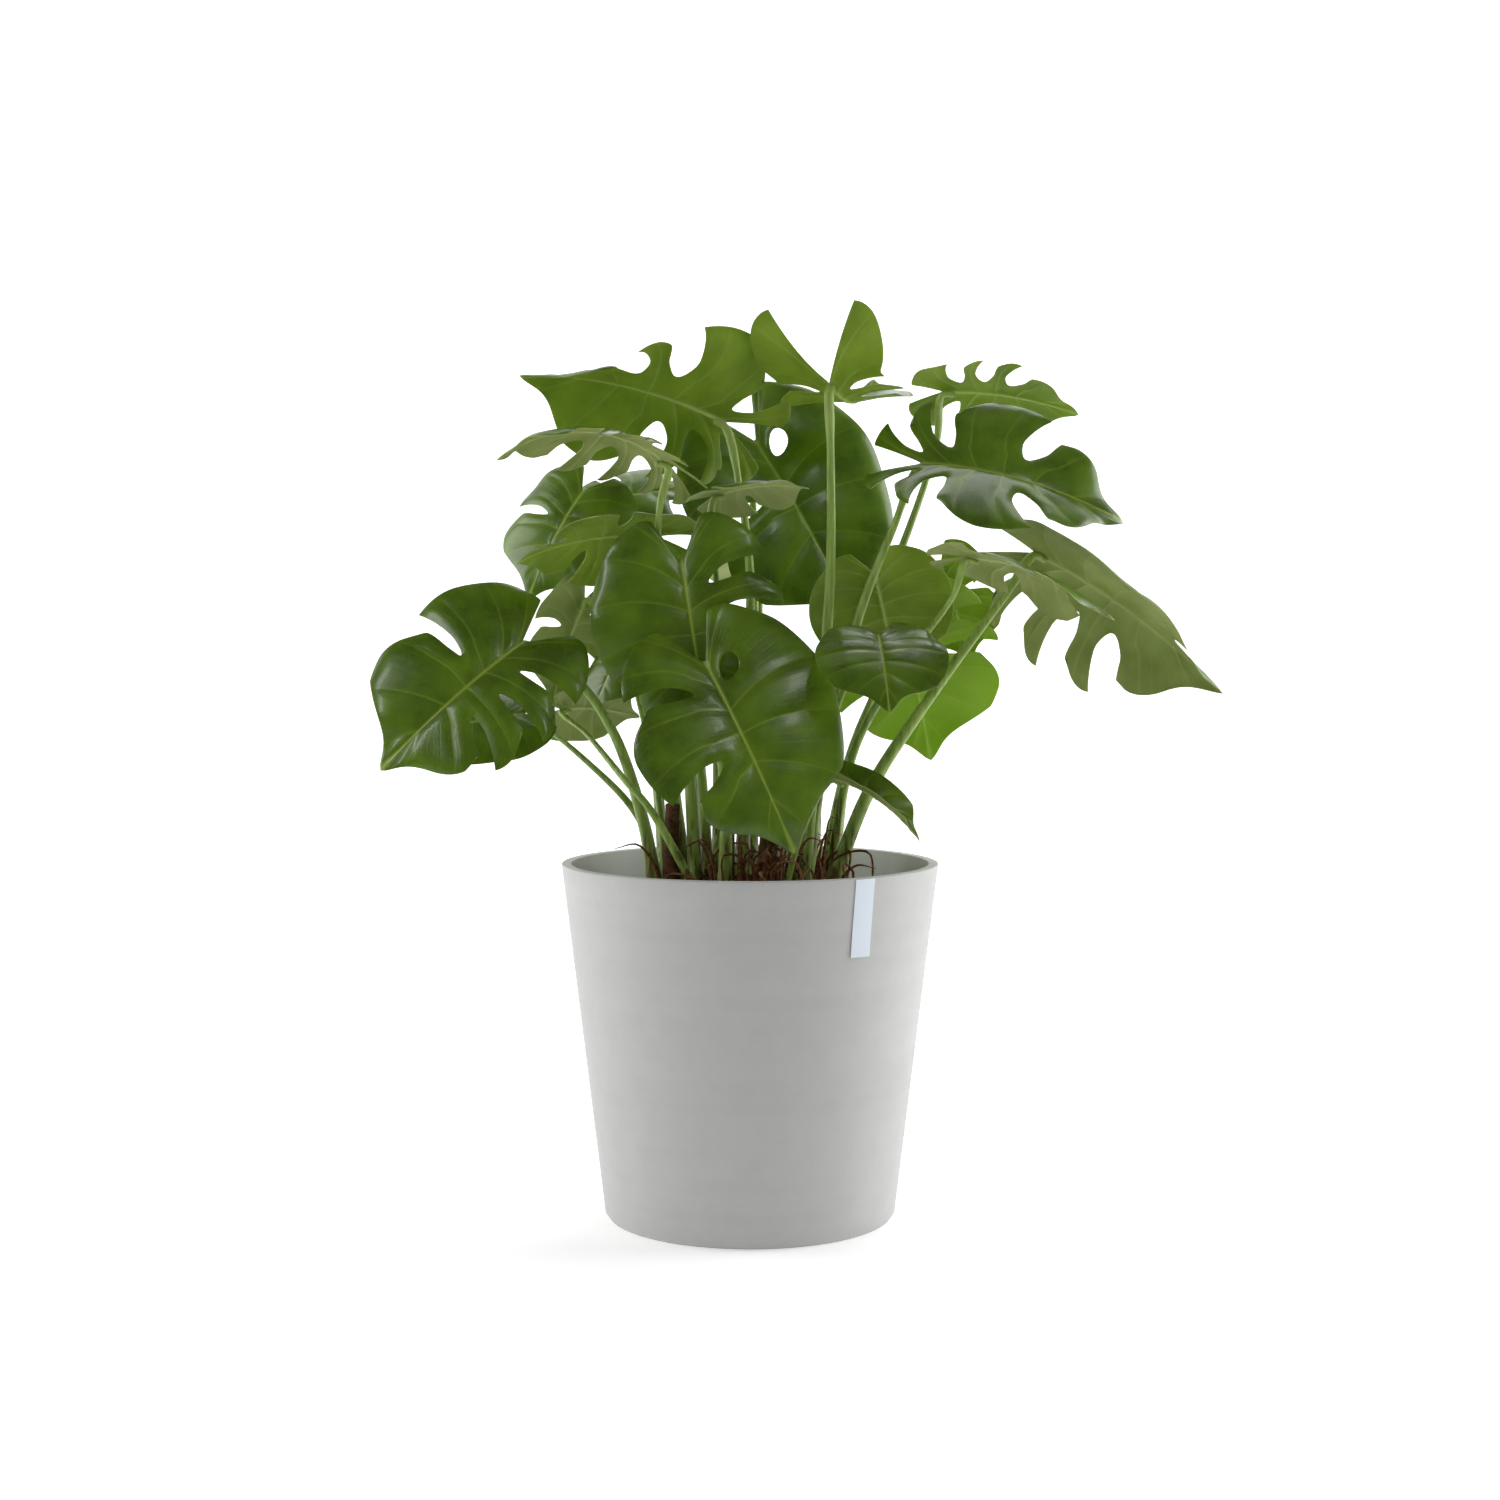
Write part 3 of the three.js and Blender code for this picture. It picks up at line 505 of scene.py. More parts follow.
# %% Every leaf
USUAL = dict(droop=30, fold=0, curl=-20, twist=0, left=".....", right=".....", ears=1, width=1,
             open=0.42)
LEAVES = {
    "front_left": dict(
        at=(-262, -70, 680), tip=(-420, -112, 535), face=(-0.15, -0.95, 0.25),
        fold=8, left=".ddd.", right="..d..", open=0.3, thick=(9, 5.5),
        stalk=[(-108, -35), (-125, -30, 470), (-160, -30, 575), (-205, -40, 640)]),
    "front_centre": dict(
        at=(-50, -133, 657), tip=(50, -163, 445), face=(0.2, -0.95, 0.2),
        droop=25, fold=8, right=".d.d.", hole=1, thick=(9, 5.5),
        stalk=[(-30, -78), (-28, -100, 500), (-40, -112, 600)]),
    "centre": dict(
        at=(-78, -80, 771), tip=(-45, -80, 555), face=(0, -0.95, 0.25),
        droop=25, fold=10, curl=-25, left=".dd..", right="...d.", thick=(9, 5.5),
        stalk=[(-62, -50), (-70, -42, 520), (-82, -42, 680)]),
    "upper_left": dict(
        at=(-30, 30, 941), tip=(-268, -30, 990), face=(0, 0.62, 0.78),
        droop=40, fold=15, tip_fold=-40, curl=-10, twist=-40, left="d.dd.", right="ddd..",
        width=0.9, open=0.7, thick=(9, 5.5),
        stalk=[(-10, 5), (-5, 15, 560), (0, 15, 760), (-12, 22, 860)]),
    "left_edge": dict(
        at=(-95, -60, 888), tip=(-285, -125, 885), face=(0, 0.15, 1),
        droop=75, curl=-30, left="dddd.", right="dddd.", open=0.7, thick=(8, 5),
        stalk=[(-72, -18), (-95, -20, 560), (-108, -42, 720), (-104, -60, 835)]),
    "left_glossy": dict(
        at=(-205, 106, 864), tip=(-270, 86, 732), face=(-0.35, -0.9, 0.3),
        curl=-30, left="...s.", right="..d..", width=1.2, thick=(8, 5),
        stalk=[(-100, 42), (-128, 106, 600), (-187, 116, 765)]),
    "mid_left": dict(
        at=(-110, 24, 806), tip=(-270, -50, 772), face=(-0.2, 0.5, 0.87),
        droop=35, curl=-30, left="..d.d", right=".d.d.", width=0.85, thick=(8, 5),
        stalk=[(-48, -2), (-62, 10, 560), (-92, 20, 720)]),
    "back_left": dict(
        at=(-80, 188, 870), tip=(-255, 188, 832), face=(-0.1, -0.55, 0.8),
        fold=5, curl=-30, left=".d.d.", right=".d.d.", open=0.6, thick=(8.5, 5),
        stalk=[(-38, 45), (-42, 100, 600), (-68, 172, 780)]),
    "back_centre": dict(
        at=(7, 130, 927), tip=(130, 135, 708), face=(0.1, -0.9, 0.4),
        droop=25, fold=10, curl=-25, right="..d..", hole=1, thick=(9, 5.5),
        stalk=[(0, 50), (5, 120, 600), (5, 158, 800)]),
    "top": dict(
        at=(92, -30, 982), tip=(150, 100, 1000), face=(0, 0.1, 1),
        droop=-80, fold=5, curl=-5, left=".d...", right=".dd..", ears=2.7, open=0.5, thick=(9, 6),
        stalk=[(62, -2), (80, -20, 560), (93, -48, 760), (93, -48, 905)]),
    "upper_right": dict(
        at=(199, -40, 888), tip=(434, -40, 818), face=(0.2, -0.72, 0.65),
        droop=35, fold=14, curl=-10, left="dd.d.", right="dd.d.", width=0.85, open=0.6,
        thick=(9, 5.5),
        stalk=[(62, -30), (85, -40, 540), (128, -50, 715), (165, -45, 810)]),
    "back_right_top": dict(
        at=(235, 100, 985), tip=(398, 82, 955), face=(0.15, 0.6, 0.8),
        left=".ddd.", right=".ddd.", width=0.8, open=0.7, thick=(8.5, 5),
        stalk=[(72, 35), (98, 108, 600), (185, 130, 790), (230, 132, 925)]),
    "right_drooping": dict(
        at=(340, 14, 786), tip=(556, -18, 620), face=(0.35, 0.7, 0.55),
        fold=-30, tip_fold=-45, curl=-10, left="dddd.", right="....s", width=0.85, open=0.6,
        thick=(9.5, 6),
        stalk=[(88, -48), (140, -50, 510), (207, -38, 612), (300, -8, 735)]),
    "right_folded": dict(
        at=(248, -95, 778), tip=(408, -145, 705), face=(0.3, 0.25, 0.92),
        droop=40, tip_fold=-30, left="d.d.d", right=".d.d.", width=0.7, open=0.6, thick=(7, 4),
        stalk=[(90, -5), (125, -20, 560), (190, -50, 670), (232, -98, 735)]),
    "light_heart": dict(
        at=(147, 15, 762), tip=(178, 50, 640), face=(0, 0.9, 0.4),
        droop=20, curl=-15, width=1.3, thick=(7, 4),
        stalk=[(45, 12), (70, 24, 560), (118, 28, 680)]),
    "dark_heart": dict(
        at=(146, -95, 690), tip=(152, -212, 604), face=(0, -0.56, 0.82),
        fold=5, thick=(7, 4),
        stalk=[(62, -68), (80, -62, 540), (115, -70, 640)]),
    "lime_right": dict(
        at=(186, 80, 712), tip=(222, 95, 535), face=(0, 1, 0.2),
        droop=20, curl=-10, left=".d.d.", right=".dd..", width=1.2, thick=(7.5, 4.5),
        stalk=[(98, 22), (120, 50, 540), (160, 68, 640)]),
    "back_right": dict(
        at=(235, 130, 775), tip=(275, 150, 655), face=(0.2, 0.9, 0.4),
        left=".d...", right="..d..", thick=(7.5, 4.5),
        stalk=[(85, 70), (130, 110, 560), (200, 125, 690)]),
    "centre_edge": dict(
        at=(-42, -40, 850), tip=(68, -80, 856), face=(0.1, 0.2, 0.95),
        curl=-30, left="..d..", right=".d...", thick=(7.5, 4.5),
        stalk=[(-25, -30), (-25, -40, 560), (-38, -48, 740)]),
    "juvenile": dict(
        at=(96, -95, 526), tip=(192, -130, 456), face=(0.4, -0.4, 0.8),
        droop=40, fold=35, curl=10, width=0.45, thick=(5, 3),
        stalk=[(35, -92), (62, -98, 470)]),
    "lower_left_dark": dict(
        at=(-265, -20, 597), tip=(-395, -40, 560), face=(-0.2, -0.6, 0.75),
        thick=(6, 3.5),
        stalk=[(-112, -5), (-128, 0, 465), (-193, -10, 540)]),
    "lower_left_pale": dict(
        at=(-229, 48, 600), tip=(-135, 98, 588), face=(-0.1, 0.7, 0.7),
        curl=-15, thick=(6, 3.5),
        stalk=[(-52, -92), (-115, -76, 488), (-144, -62, 520), (-195, 10, 572)]),
    "hanging_left": dict(
        at=(-200, 70, 732), tip=(-240, 75, 602), face=(-0.5, 0.8, 0.1),
        left="..d..", right=".d.d.", width=0.85, thick=(7.5, 4.5),
        stalk=[(-78, 60), (-105, 70, 560), (-158, 78, 670)]),
    "lime_left": dict(
        at=(-118, 122, 765), tip=(-133, 142, 618), face=(0, 0.95, 0.3),
        droop=25, curl=-10, left=".d.d.", right="..d..", width=0.8, thick=(7.5, 4.5),
        stalk=[(-50, 85), (-72, 108, 560), (-98, 112, 700)]),
    "rear": dict(
        at=(16, 190, 790), tip=(36, 350, 730), face=(0, 0.2, 1),
        droop=50, fold=5, curl=-30, left=".dd..", right="..dd.", thick=(8, 5),
        stalk=[(22, 85), (18, 140, 560), (12, 172, 710)]),
    "left_dark": dict(
        at=(-150, 5, 672), tip=(-182, -15, 600), face=(-0.5, -0.7, 0.5),
        droop=25, thick=(6, 3.5),
        stalk=[(-98, 14), (-112, 12, 520), (-132, 12, 610)]),
}
print("leaves:", len(LEAVES))

# %% [markdown]
# ### The blade laid flat
#
# A monstera blade is a fan of veins. A vein is named by s, from the lowest lobe (0) to the
# tip (1), and t runs along it from the midrib (0) to the margin (1). Slits are gaps between
# lobes that open from some t outwards, with a round inner end. So the flat blade is a grid
# of s and t, which makes a slit, a hole and a lobe's tip easy to shape, and gives every
# point its place in the fan for the finish to use.

# %% Where a vein leaves the midrib, its angle and its length, for a blade 1 long
def vein_root(s):
    return 0.82 * s**1.35


def vein_angle(s):
    return math.radians(152) * (1 - s) ** 0.75


def vein_length(s):
    pinch = 0.09 * math.sin(math.pi * max(0.0, (s - 0.7) / 0.3))
    return 0.27 - 0.09 * s + 0.29 * math.sin(math.pi * s) - pinch


# %% Sizes of the grid and of the slits
LOBED_EDGES = [0, 0.2, 0.36, 0.5, 0.64, 0.8, 1]
PLAIN_EDGES = [i / 7 for i in range(8)]
SLIT_START = {"d": 0.3, "s": 0.6}
HOLE_FROM, HOLE_TO, HOLE_HALF = 0.13, 0.42, 0.36
VEIN_SWEEP = 0.2
TIP_ROUND, SHARP_CORNER = 0.26, 0.15  # towards the stalk and towards the tip of the leaf
ACROSS = [0, 0.1, 0.2, 0.3, 0.39, 0.45, 0.48, 0.5, 0.52, 0.55, 0.61, 0.7, 0.8, 0.9, 1]
ALONG = [0, 0.01, 0.025, 0.045, 0.075, 0.13, 0.18, 0.24, 0.3, 0.36, 0.42, 0.48, 0.54,
         0.6, 0.66, 0.72, 0.78, 0.84, 0.89, 0.93, 0.97, 1]
NEAR_AN_END = [0.004, 0.012, 0.03]


def rows_of(leaf):
    """The places along a vein where the grid has points, closer together at rounded ends."""
    ends = [SLIT_START[x] for x in set(leaf["left"] + leaf["right"]) - {"."}]
    rows = set(ALONG + [end + step for end in ends for step in NEAR_AN_END])
    if "hole" in leaf:
        rows |= {HOLE_FROM + x for x in NEAR_AN_END} | {HOLE_TO - x for x in NEAR_AN_END}
        rows |= {0.22, 0.3}
    return sorted(rows)


# %% One line of the grid
def gap(share):
    """How far open a slit is, for the share of its length from its inner end."""
    return math.sqrt(min(1.0, share / 0.3)) * (1 - 0.35 * share)


def grid_line(leaf, half, lobe, across, side, rows):
    """The flat points of one line of a lobe, from the midrib to the margin, with s and t.
    side tells the two edges of a hole apart at the lobe's middle."""
    slits = leaf["left"] if half > 0 else leaf["right"]
    edges = leaf["edges"]
    low, high = edges[lobe], edges[lobe + 1]
    starts = [SLIT_START.get(slits[i]) if 0 <= i < 5 and len(edges) == 7 else None
              for i in (lobe - 1, lobe)]
    holed = half > 0 and leaf.get("hole") == lobe
    line = []
    for t in rows:
        below, above = [(t - x) / (1 - x) if x and t > x else 0.0 for x in starts]
        place = across
        if holed and HOLE_FROM < t < HOLE_TO:
            middle = (t - (HOLE_FROM + HOLE_TO) / 2) / ((HOLE_TO - HOLE_FROM) / 2)
            opened = 1 - 2 * HOLE_HALF * math.sqrt(max(0.0, 1 - middle**2))
            place = across * opened if side < 0 else 1 - (1 - across) * opened
        bottom = low + (high - low) * 0.5 * leaf["open"] * gap(below)
        top = high - (high - low) * 0.5 * leaf["open"] * gap(above)
        s = bottom + (top - bottom) * place
        corner = (1 - place) ** 1.8 * below**3 + SHARP_CORNER * place**2.5 * above**3
        ear = 1 + (leaf["ears"] - 1) * max(0.0, 1 - s / 0.3)
        reach = vein_length(s) * ear * leaf["length"] * t * (1 - TIP_ROUND * corner)
        angle = vein_angle(s) * (1 + VEIN_SWEEP * (1 - t) * min(1.0, s / 0.25))
        u = vein_root(s) * leaf["length"] + reach * math.cos(angle)
        v = half * reach * math.sin(angle) * leaf["width"]
        line.append((u, v if abs(v) > 1e-9 else 0.0, s, t))
    return line


# %% The flat grid
def flat_grid(leaf):
    """Flat points (u, v, s, t), the faces between them, and the points on each side vein."""
    rows = rows_of(leaf)
    points, known, faces, veins = [], {}, [], []

    def number(point):
        key = (round(point[0] * 1e6), round(point[1] * 1e6))
        if key not in known:
            known[key] = len(points)
            points.append(point)
        return known[key]

    for half in (1, -1):
        for lobe in range(len(leaf["edges"]) - 1):
            holed = half > 0 and leaf.get("hole") == lobe
            for side, part in ((-1, ACROSS[:8]), (1, ACROSS[7:])):
                lines = [[number(p) for p in grid_line(leaf, half, lobe, across, side, rows)]
                         for across in part]
                for one, two in zip(lines, lines[1:]):
                    for i in range(len(rows) - 1):
                        face = (one[i], one[i + 1], two[i + 1], two[i])
                        if half > 0:
                            face = face[::-1]
                        face = tuple(dict.fromkeys(face))
                        if len(face) > 2:
                            faces.append(face)
                if side > 0 and not holed:
                    veins.append(lines[0])
    return points, faces, veins


# %% [markdown]
# ### Relief
#
# The blade isn't flat between its veins. The veins pull it down and the tissue between them
# puffs up, the margin rolls down a little, and the whole margin waves. Under the blade, the
# midrib and the side veins stand out as ribs, so the blade is thicker there.

# %% Distances to veins and margin, and the relief that follows from them
# Heights in mm on a blade of the usual length.
PUFF, GROOVE, ROLL, WAVE = 1.2, 0.9, 1.6, 3.0
USUAL_LENGTH = 0.24


def nearest(points, targets):
    """For each flat point, the distance to the nearest of the target points."""
    best = np.full(len(points), 1e3)
    for chunk in np.array_split(targets, max(1, len(targets) // 64)):
        apart = points[:, None, :] - chunk[None, :, :]
        best = np.minimum(best, np.sqrt((apart**2).sum(2)).min(1))
    return best


def flat_blade(leaf, seed):
    """The flat blade as a mesh: x along the midrib, y across it, z its relief."""
    points, faces, veins = flat_grid(leaf)
    flat = np.array([p[:2] for p in points])
    fan_s = np.array([p[2] for p in points])
    fan_t = np.array([p[3] for p in points])
    count = {}
    for face in faces:
        for a, b in zip(face, face[1:] + face[:1]):
            key = (min(a, b), max(a, b))
            count[key] = count.get(key, 0) + 1
    rim = np.array(sorted({i for edge, times in count.items() if times == 1 for i in edge}))
    length = leaf["length"]
    to_rim = nearest(flat, flat[rim]) / MM
    to_midrib = np.where(flat[:, 0] > 0, np.abs(flat[:, 1]), np.hypot(flat[:, 0], flat[:, 1])) / MM
    samples = []
    for vein in veins:
        for a, b in zip(vein, vein[1:]):
            samples += [flat[a] * (1 - k / 4) + flat[b] * k / 4 for k in range(4)]
    to_vein = nearest(flat, np.array(samples)) / MM
    big = length / USUAL_LENGTH
    along = np.clip(flat[:, 0] / length, 0, 1)

    chance = random.Random(seed)
    phases = [chance.uniform(0, 6.28) for _ in range(4)]
    waves = [np.sin(15 * fan_s + a) + 0.5 * np.sin(31 * fan_s + b)
             for a, b in (phases[:2], phases[2:])]
    wave = np.where(flat[:, 1] > 0, *waves)
    between = 1 - np.exp(-((np.minimum(to_vein, to_midrib) / (7 * big)) ** 2))
    puff = PUFF * big * between * (1 - np.exp(-((to_rim / 9) ** 2)))
    groove = GROOVE * np.exp(-((to_midrib / 2.2) ** 2)) * (1 - along)
    roll = ROLL * big * np.exp(-to_rim / 3.5)
    fade = np.minimum(1, to_midrib / (12 * big))
    relief = 0.6 + puff - groove - roll + WAVE * big * wave * fan_t**2 * fade

    midrib = np.exp(-((to_midrib / (2.4 - 1.3 * along)) ** 2))
    side = np.exp(-((to_vein / 1.1) ** 2)) * (1 - 0.75 * fan_t)
    rib = 0.8 + 2.4 * big * (1 - 0.8 * along) * midrib + 0.9 * big * side
    rib = rib * np.minimum(1, 0.55 + to_rim / 8)

    mesh = plain_mesh("flat_blade", np.column_stack([flat, relief * MM]), faces)
    set_values(mesh, "thick", rib * MM)
    line = np.maximum(np.exp(-((to_midrib / (2.0 - 1.2 * along)) ** 2)),
                      np.exp(-((to_vein / 0.9) ** 2)) * (0.45 - 0.3 * fan_t))
    set_values(mesh, "vein", line)
    set_values(mesh, "fan_s", fan_s)
    return mesh


# %% [markdown]
# ### Bending the blade
#
# A Geometry Nodes tree takes the flat blade and bends it. Across the midrib a half blade is
# an arc that starts at the fold angle. That section is turned about the midrib by the twist,
# and then about Y by the droop, round a centre as far below as the midrib's own arc needs.
# Then the sheet is extruded down by its thickness, and the two are joined into a solid whose
# upper side, underside and margin each get their finish.

# %% The tree that bends a blade
tree, given = start_tree(
    "Blade", Float="Length, Droop, Fold, Tip fold, Curl, Twist",
    Material="Upper side, Underside, Margin")
flat = add(tree, "SeparateXYZ", [add(tree, "GeometryNodeInputPosition")]).node.outputs
across = add(tree, "ABSOLUTE", [flat["Y"]])
hand = add(tree, "SIGN", [flat["Y"]])
share = add(tree, "DIVIDE", [flat["X"], given["Length"]])
fold = add(tree, "MapRange", [share, 0.0, 1.0, given["Fold"], given["Tip fold"]])
rate = add(tree, "DIVIDE", [given["Curl"], given["Length"]])
rate = add(tree, "MULTIPLY", [rate, 2.0])
angle = add(tree, "MULTIPLY_ADD", [rate, across, fold])
sin_fold = add(tree, "SINE", [fold])
cos_fold = add(tree, "COSINE", [fold])
sin_angle = add(tree, "SINE", [angle])
cos_angle = add(tree, "COSINE", [angle])
spread = add(tree, "SUBTRACT", [sin_angle, sin_fold])
spread = add(tree, "DIVIDE", [spread, rate])
lean = add(tree, "MULTIPLY", [sin_angle, flat["Z"]])
spread = add(tree, "SUBTRACT", [spread, lean])
spread = add(tree, "MULTIPLY", [spread, hand])
lift = add(tree, "SUBTRACT", [cos_fold, cos_angle])
lift = add(tree, "DIVIDE", [lift, rate])
lift = add(tree, "MULTIPLY_ADD", [cos_angle, flat["Z"], lift])
section = add(tree, "CombineXYZ", {"Y": spread, "Z": lift})
from_middle = add(tree, "SUBTRACT", [share, 0.5])
turn = add(tree, "MULTIPLY", [from_middle, given["Twist"]])
section = add(tree, "VectorRotate", {"Vector": section, "Angle": turn}, rotation_type="X_AXIS")
radius = add(tree, "DIVIDE", [given["Length"], given["Droop"]])
centre = add(tree, "CombineXYZ", {"Z": radius})
section = add(tree, "VectorMath", [section, centre], operation="ADD")
turn = add(tree, "MULTIPLY", [from_middle, given["Droop"]])
section = add(tree, "VectorRotate", {"Vector": section, "Angle": turn}, rotation_type="Y_AXIS")
half_turn = add(tree, "MULTIPLY", [given["Droop"], -0.5])
centre = add(tree, "VectorRotate", {"Vector": centre, "Angle": half_turn}, rotation_type="Y_AXIS")
section = add(tree, "VectorMath", [section, centre], operation="SUBTRACT")
upper = add(tree, "GeometryNodeSetPosition", {"Geometry": given["Geometry"], "Position": section})
print("bending takes", len(tree.nodes), "nodes")

# %% Its thickness and finishes
thick = add(tree, "GeometryNodeInputNamedAttribute", {"Name": "thick"}, data_type="FLOAT")
down = add(tree, "MULTIPLY", [thick, -1.0])
lower = add(tree, "GeometryNodeExtrudeMesh", {
    "Mesh": upper, "Offset Scale": down, "Individual": False})
extruded = lower.node.outputs
for name, side in (("is_under", "Top"), ("is_margin", "Side")):
    lower = add(tree, "GeometryNodeStoreNamedAttribute", {
        "Geometry": lower, "Name": name, "Value": extruded[side]},
        data_type="BOOLEAN", domain="FACE")
lower = add(tree, "GeometryNodeFlipFaces", {"Mesh": lower})
both = add(tree, "GeometryNodeJoinGeometry", [upper])
feed(both.node, [(0, lower)])
both = add(tree, "GeometryNodeMergeByDistance", {"Geometry": both, "Distance": 1e-5})
both = add(tree, "GeometryNodeRealizeInstances", {"Geometry": both})
both = add(tree, "GeometryNodeSetMaterial", {"Geometry": both, "Material": given["Upper side"]})
for name, label in (("is_under", "Underside"), ("is_margin", "Margin")):
    chosen = add(tree, "GeometryNodeInputNamedAttribute", {"Name": name}, data_type="BOOLEAN")
    both = add(tree, "GeometryNodeSetMaterial", {
        "Geometry": both, "Selection": chosen, "Material": given[label]})
add(tree, "NodeGroupOutput", [both])
blade_tree = tree
print("blade tree has", len(tree.nodes), "nodes")

# %% Working out a leaf's sizes and its place
def work_out(name, given):
    """A leaf's full description: its length along the drooping midrib, and its place."""
    leaf = {**USUAL, "tip_fold": given.get("fold", USUAL["fold"]), **given, "name": name}
    lobed = set(leaf["left"] + leaf["right"]) != {"."}
    leaf["edges"] = LOBED_EDGES if lobed else PLAIN_EDGES
    at = Vector(leaf["at"]) * MM
    chord = Vector(leaf["tip"]) * MM - at
    half_droop = math.radians(leaf["droop"]) / 2
    leaf["length"] = chord.length * half_droop / math.sin(half_droop)
    along = chord.normalized()
    face = Vector(leaf["face"])
    face = (face - along * face.dot(along)).normalized()
    side = face.cross(along)
    leaf["place"] = Matrix.Translation(at) @ Matrix((along, side, face)).transposed().to_4x4()
    return leaf


leaves = [work_out(name, given) for name, given in LEAVES.items()]
print("blade lengths in mm:", sorted(round(leaf["length"] / MM) for leaf in leaves))

# %% Making every blade
# New leaves, and leaves that stand high enough to have the light behind them. The latter get
# an underside whose colour is painted lighter and greener for that backlight.
YOUNG = {"lime_left", "lime_right"}
BACKLIT = {"upper_left", "top", "back_right_top", "mid_left", "back_right", "light_heart"}
sizes = []
for seed, leaf in enumerate(leaves):
    young = leaf["name"] in YOUNG
    under = backlit_under if leaf["name"] in BACKLIT else mature_under
    mesh = run_tree(blade_tree, flat_blade(leaf, seed), {
        "Length": leaf["length"],
        "Droop": math.radians(leaf["droop"]),
        "Fold": math.radians(leaf["fold"]),
        "Tip fold": math.radians(leaf["tip_fold"]),
        "Curl": math.radians(leaf["curl"] or 0.01),
        "Twist": math.radians(leaf["twist"]),
        "Upper side": young_top if young else mature_top,
        "Underside": young_under if young else under,
        "Margin": margin_wax,
    })
    mesh.transform(leaf["place"])
    add_piece(f"blade_{leaf['name']}", mesh, f"leaf_{leaf['name']}", crease=60)
    sizes.append(len(mesh.polygons))
print("blades:", len(sizes), "faces:", sum(sizes), "largest:", max(sizes))

# %% [markdown]
# ## Stalks, stems and aerial roots
#
# Each is a tube along a path, so one Geometry Nodes tree makes them all. The source is a
# line of points that know how far along they are. The tree turns the line into a curve, sets
# the curve's radius from foot to tip, with a sheath that widens the foot, a knuckle that
# swells below the blade, and rings where old leaves have fallen, and sweeps a circle along.

# %% The tree that makes tubes
tree, given = start_tree(
    "Tube along a path", Float="Foot radius, Tip radius, Sheath, Knuckle, Rings, Ring height",
    Int="Sides", Material="Finish")
along = add(tree, "GeometryNodeInputNamedAttribute", {"Name": "along"}, data_type="FLOAT")
radius = add(tree, "MapRange", [along, 0.0, 1.0, given["Foot radius"], given["Tip radius"]])
widen, swell, narrow = [
    add(tree, "MapRange", [along, *ends], interpolation_type="SMOOTHSTEP")
    for ends in ((0.0, 0.16, given["Sheath"], 0.0), (0.86, 0.93, 0.0, given["Knuckle"]),
                 (0.96, 1.0, 1.0, 0.2))]
swell = add(tree, "MULTIPLY", [swell, narrow])
ring = add(tree, "MULTIPLY", [along, given["Rings"]])
ring = add(tree, "FRACT", [ring])
ring = add(tree, "POWER", [ring, 4.0])
ring = add(tree, "MULTIPLY", [ring, given["Ring height"]])
factor = add(tree, "ADD", [widen, 1.0])
for more in (swell, ring):
    factor = add(tree, "ADD", [factor, more])
radius = add(tree, "MULTIPLY", [radius, factor])
line = add(tree, "GeometryNodeMeshToCurve", {"Mesh": given["Geometry"]})
line = add(tree, "GeometryNodeSetCurveRadius", {"Curve": line, "Radius": radius})
circle = add(tree, "GeometryNodeCurvePrimitiveCircle", {
    "Resolution": given["Sides"], "Radius": 1.0})
tube = add(tree, "GeometryNodeCurveToMesh", {
    "Curve": line, "Profile Curve": circle, "Fill Caps": True})
if "Scale" in tube.node.inputs:
    feed(tube.node, [("Scale", radius)])
tube = add(tree, "GeometryNodeRealizeInstances", {"Geometry": tube})
tube = add(tree, "GeometryNodeSetMaterial", {"Geometry": tube, "Material": given["Finish"]})
add(tree, "NodeGroupOutput", [tube])
tube_tree = tree
print("tube tree has", len(tree.nodes), "nodes")

# %% Paths
def smooth_path(corners, steps):
    """Points evenly spaced on a centripetal Catmull-Rom curve through the corners."""
    ends = [corners[0] * 2 - corners[1], *corners, corners[-1] * 2 - corners[-2]]
    dense = []
    for p0, p1, p2, p3 in zip(ends, ends[1:], ends[2:], ends[3:]):
        t1 = (p1 - p0).length ** 0.5
        t2 = t1 + (p2 - p1).length ** 0.5
        t3 = t2 + (p3 - p2).length ** 0.5
        for k in range(20):
            t = t1 + (t2 - t1) * k / 20
            a1 = p0.lerp(p1, t / t1)
            a2 = p1.lerp(p2, (t - t1) / (t2 - t1))
            a3 = p2.lerp(p3, (t - t2) / (t3 - t2))
            b1, b2 = a1.lerp(a2, t / t2), a2.lerp(a3, (t - t1) / (t3 - t1))
            dense.append(b1.lerp(b2, (t - t1) / (t2 - t1)))
    dense.append(corners[-1])
    walked = np.concatenate([[0], np.cumsum([(b - a).length for a, b in zip(dense, dense[1:])])])
    coordinates = np.array([tuple(p) for p in dense])
    wanted = np.linspace(0, walked[-1], steps + 1)
    found = [np.interp(wanted, walked, coordinates[:, i]) for i in range(3)]
    return [Vector(p) for p in zip(*found)]


def path_mesh(paths):
    """Lines of points as one mesh of edges; each point knows how far along its line it is."""
    points, edges, along = [], [], []
    for path in paths:
        start = len(points)
        points += path
        along += [i / (len(path) - 1) for i in range(len(path))]
        edges += [(start + i, start + i + 1) for i in range(len(path) - 1)]
    mesh = plain_mesh("paths", points, [], edges)
    set_values(mesh, "along", along)
    return mesh


def tubes(paths, foot, tip, sides, finish, sheath=0.2, knuckle=0.0, rings=0.0, ring_height=0.0):
    """Tubes along paths as one mesh. foot and tip are radii in metres; the rest are shares."""
    return run_tree(tube_tree, path_mesh(paths), {
        "Foot radius": foot, "Tip radius": tip, "Sheath": sheath, "Knuckle": knuckle,
        "Rings": rings, "Ring height": ring_height, "Sides": sides, "Finish": finish})


def from_soil(corners):
    """Path corners in metres; the first has no height given and starts just under the soil."""
    foot, *rest = corners
    return [Vector((foot[0], foot[1], SOIL_TOP / MM - 8)) * MM] + [Vector(p) * MM for p in rest]


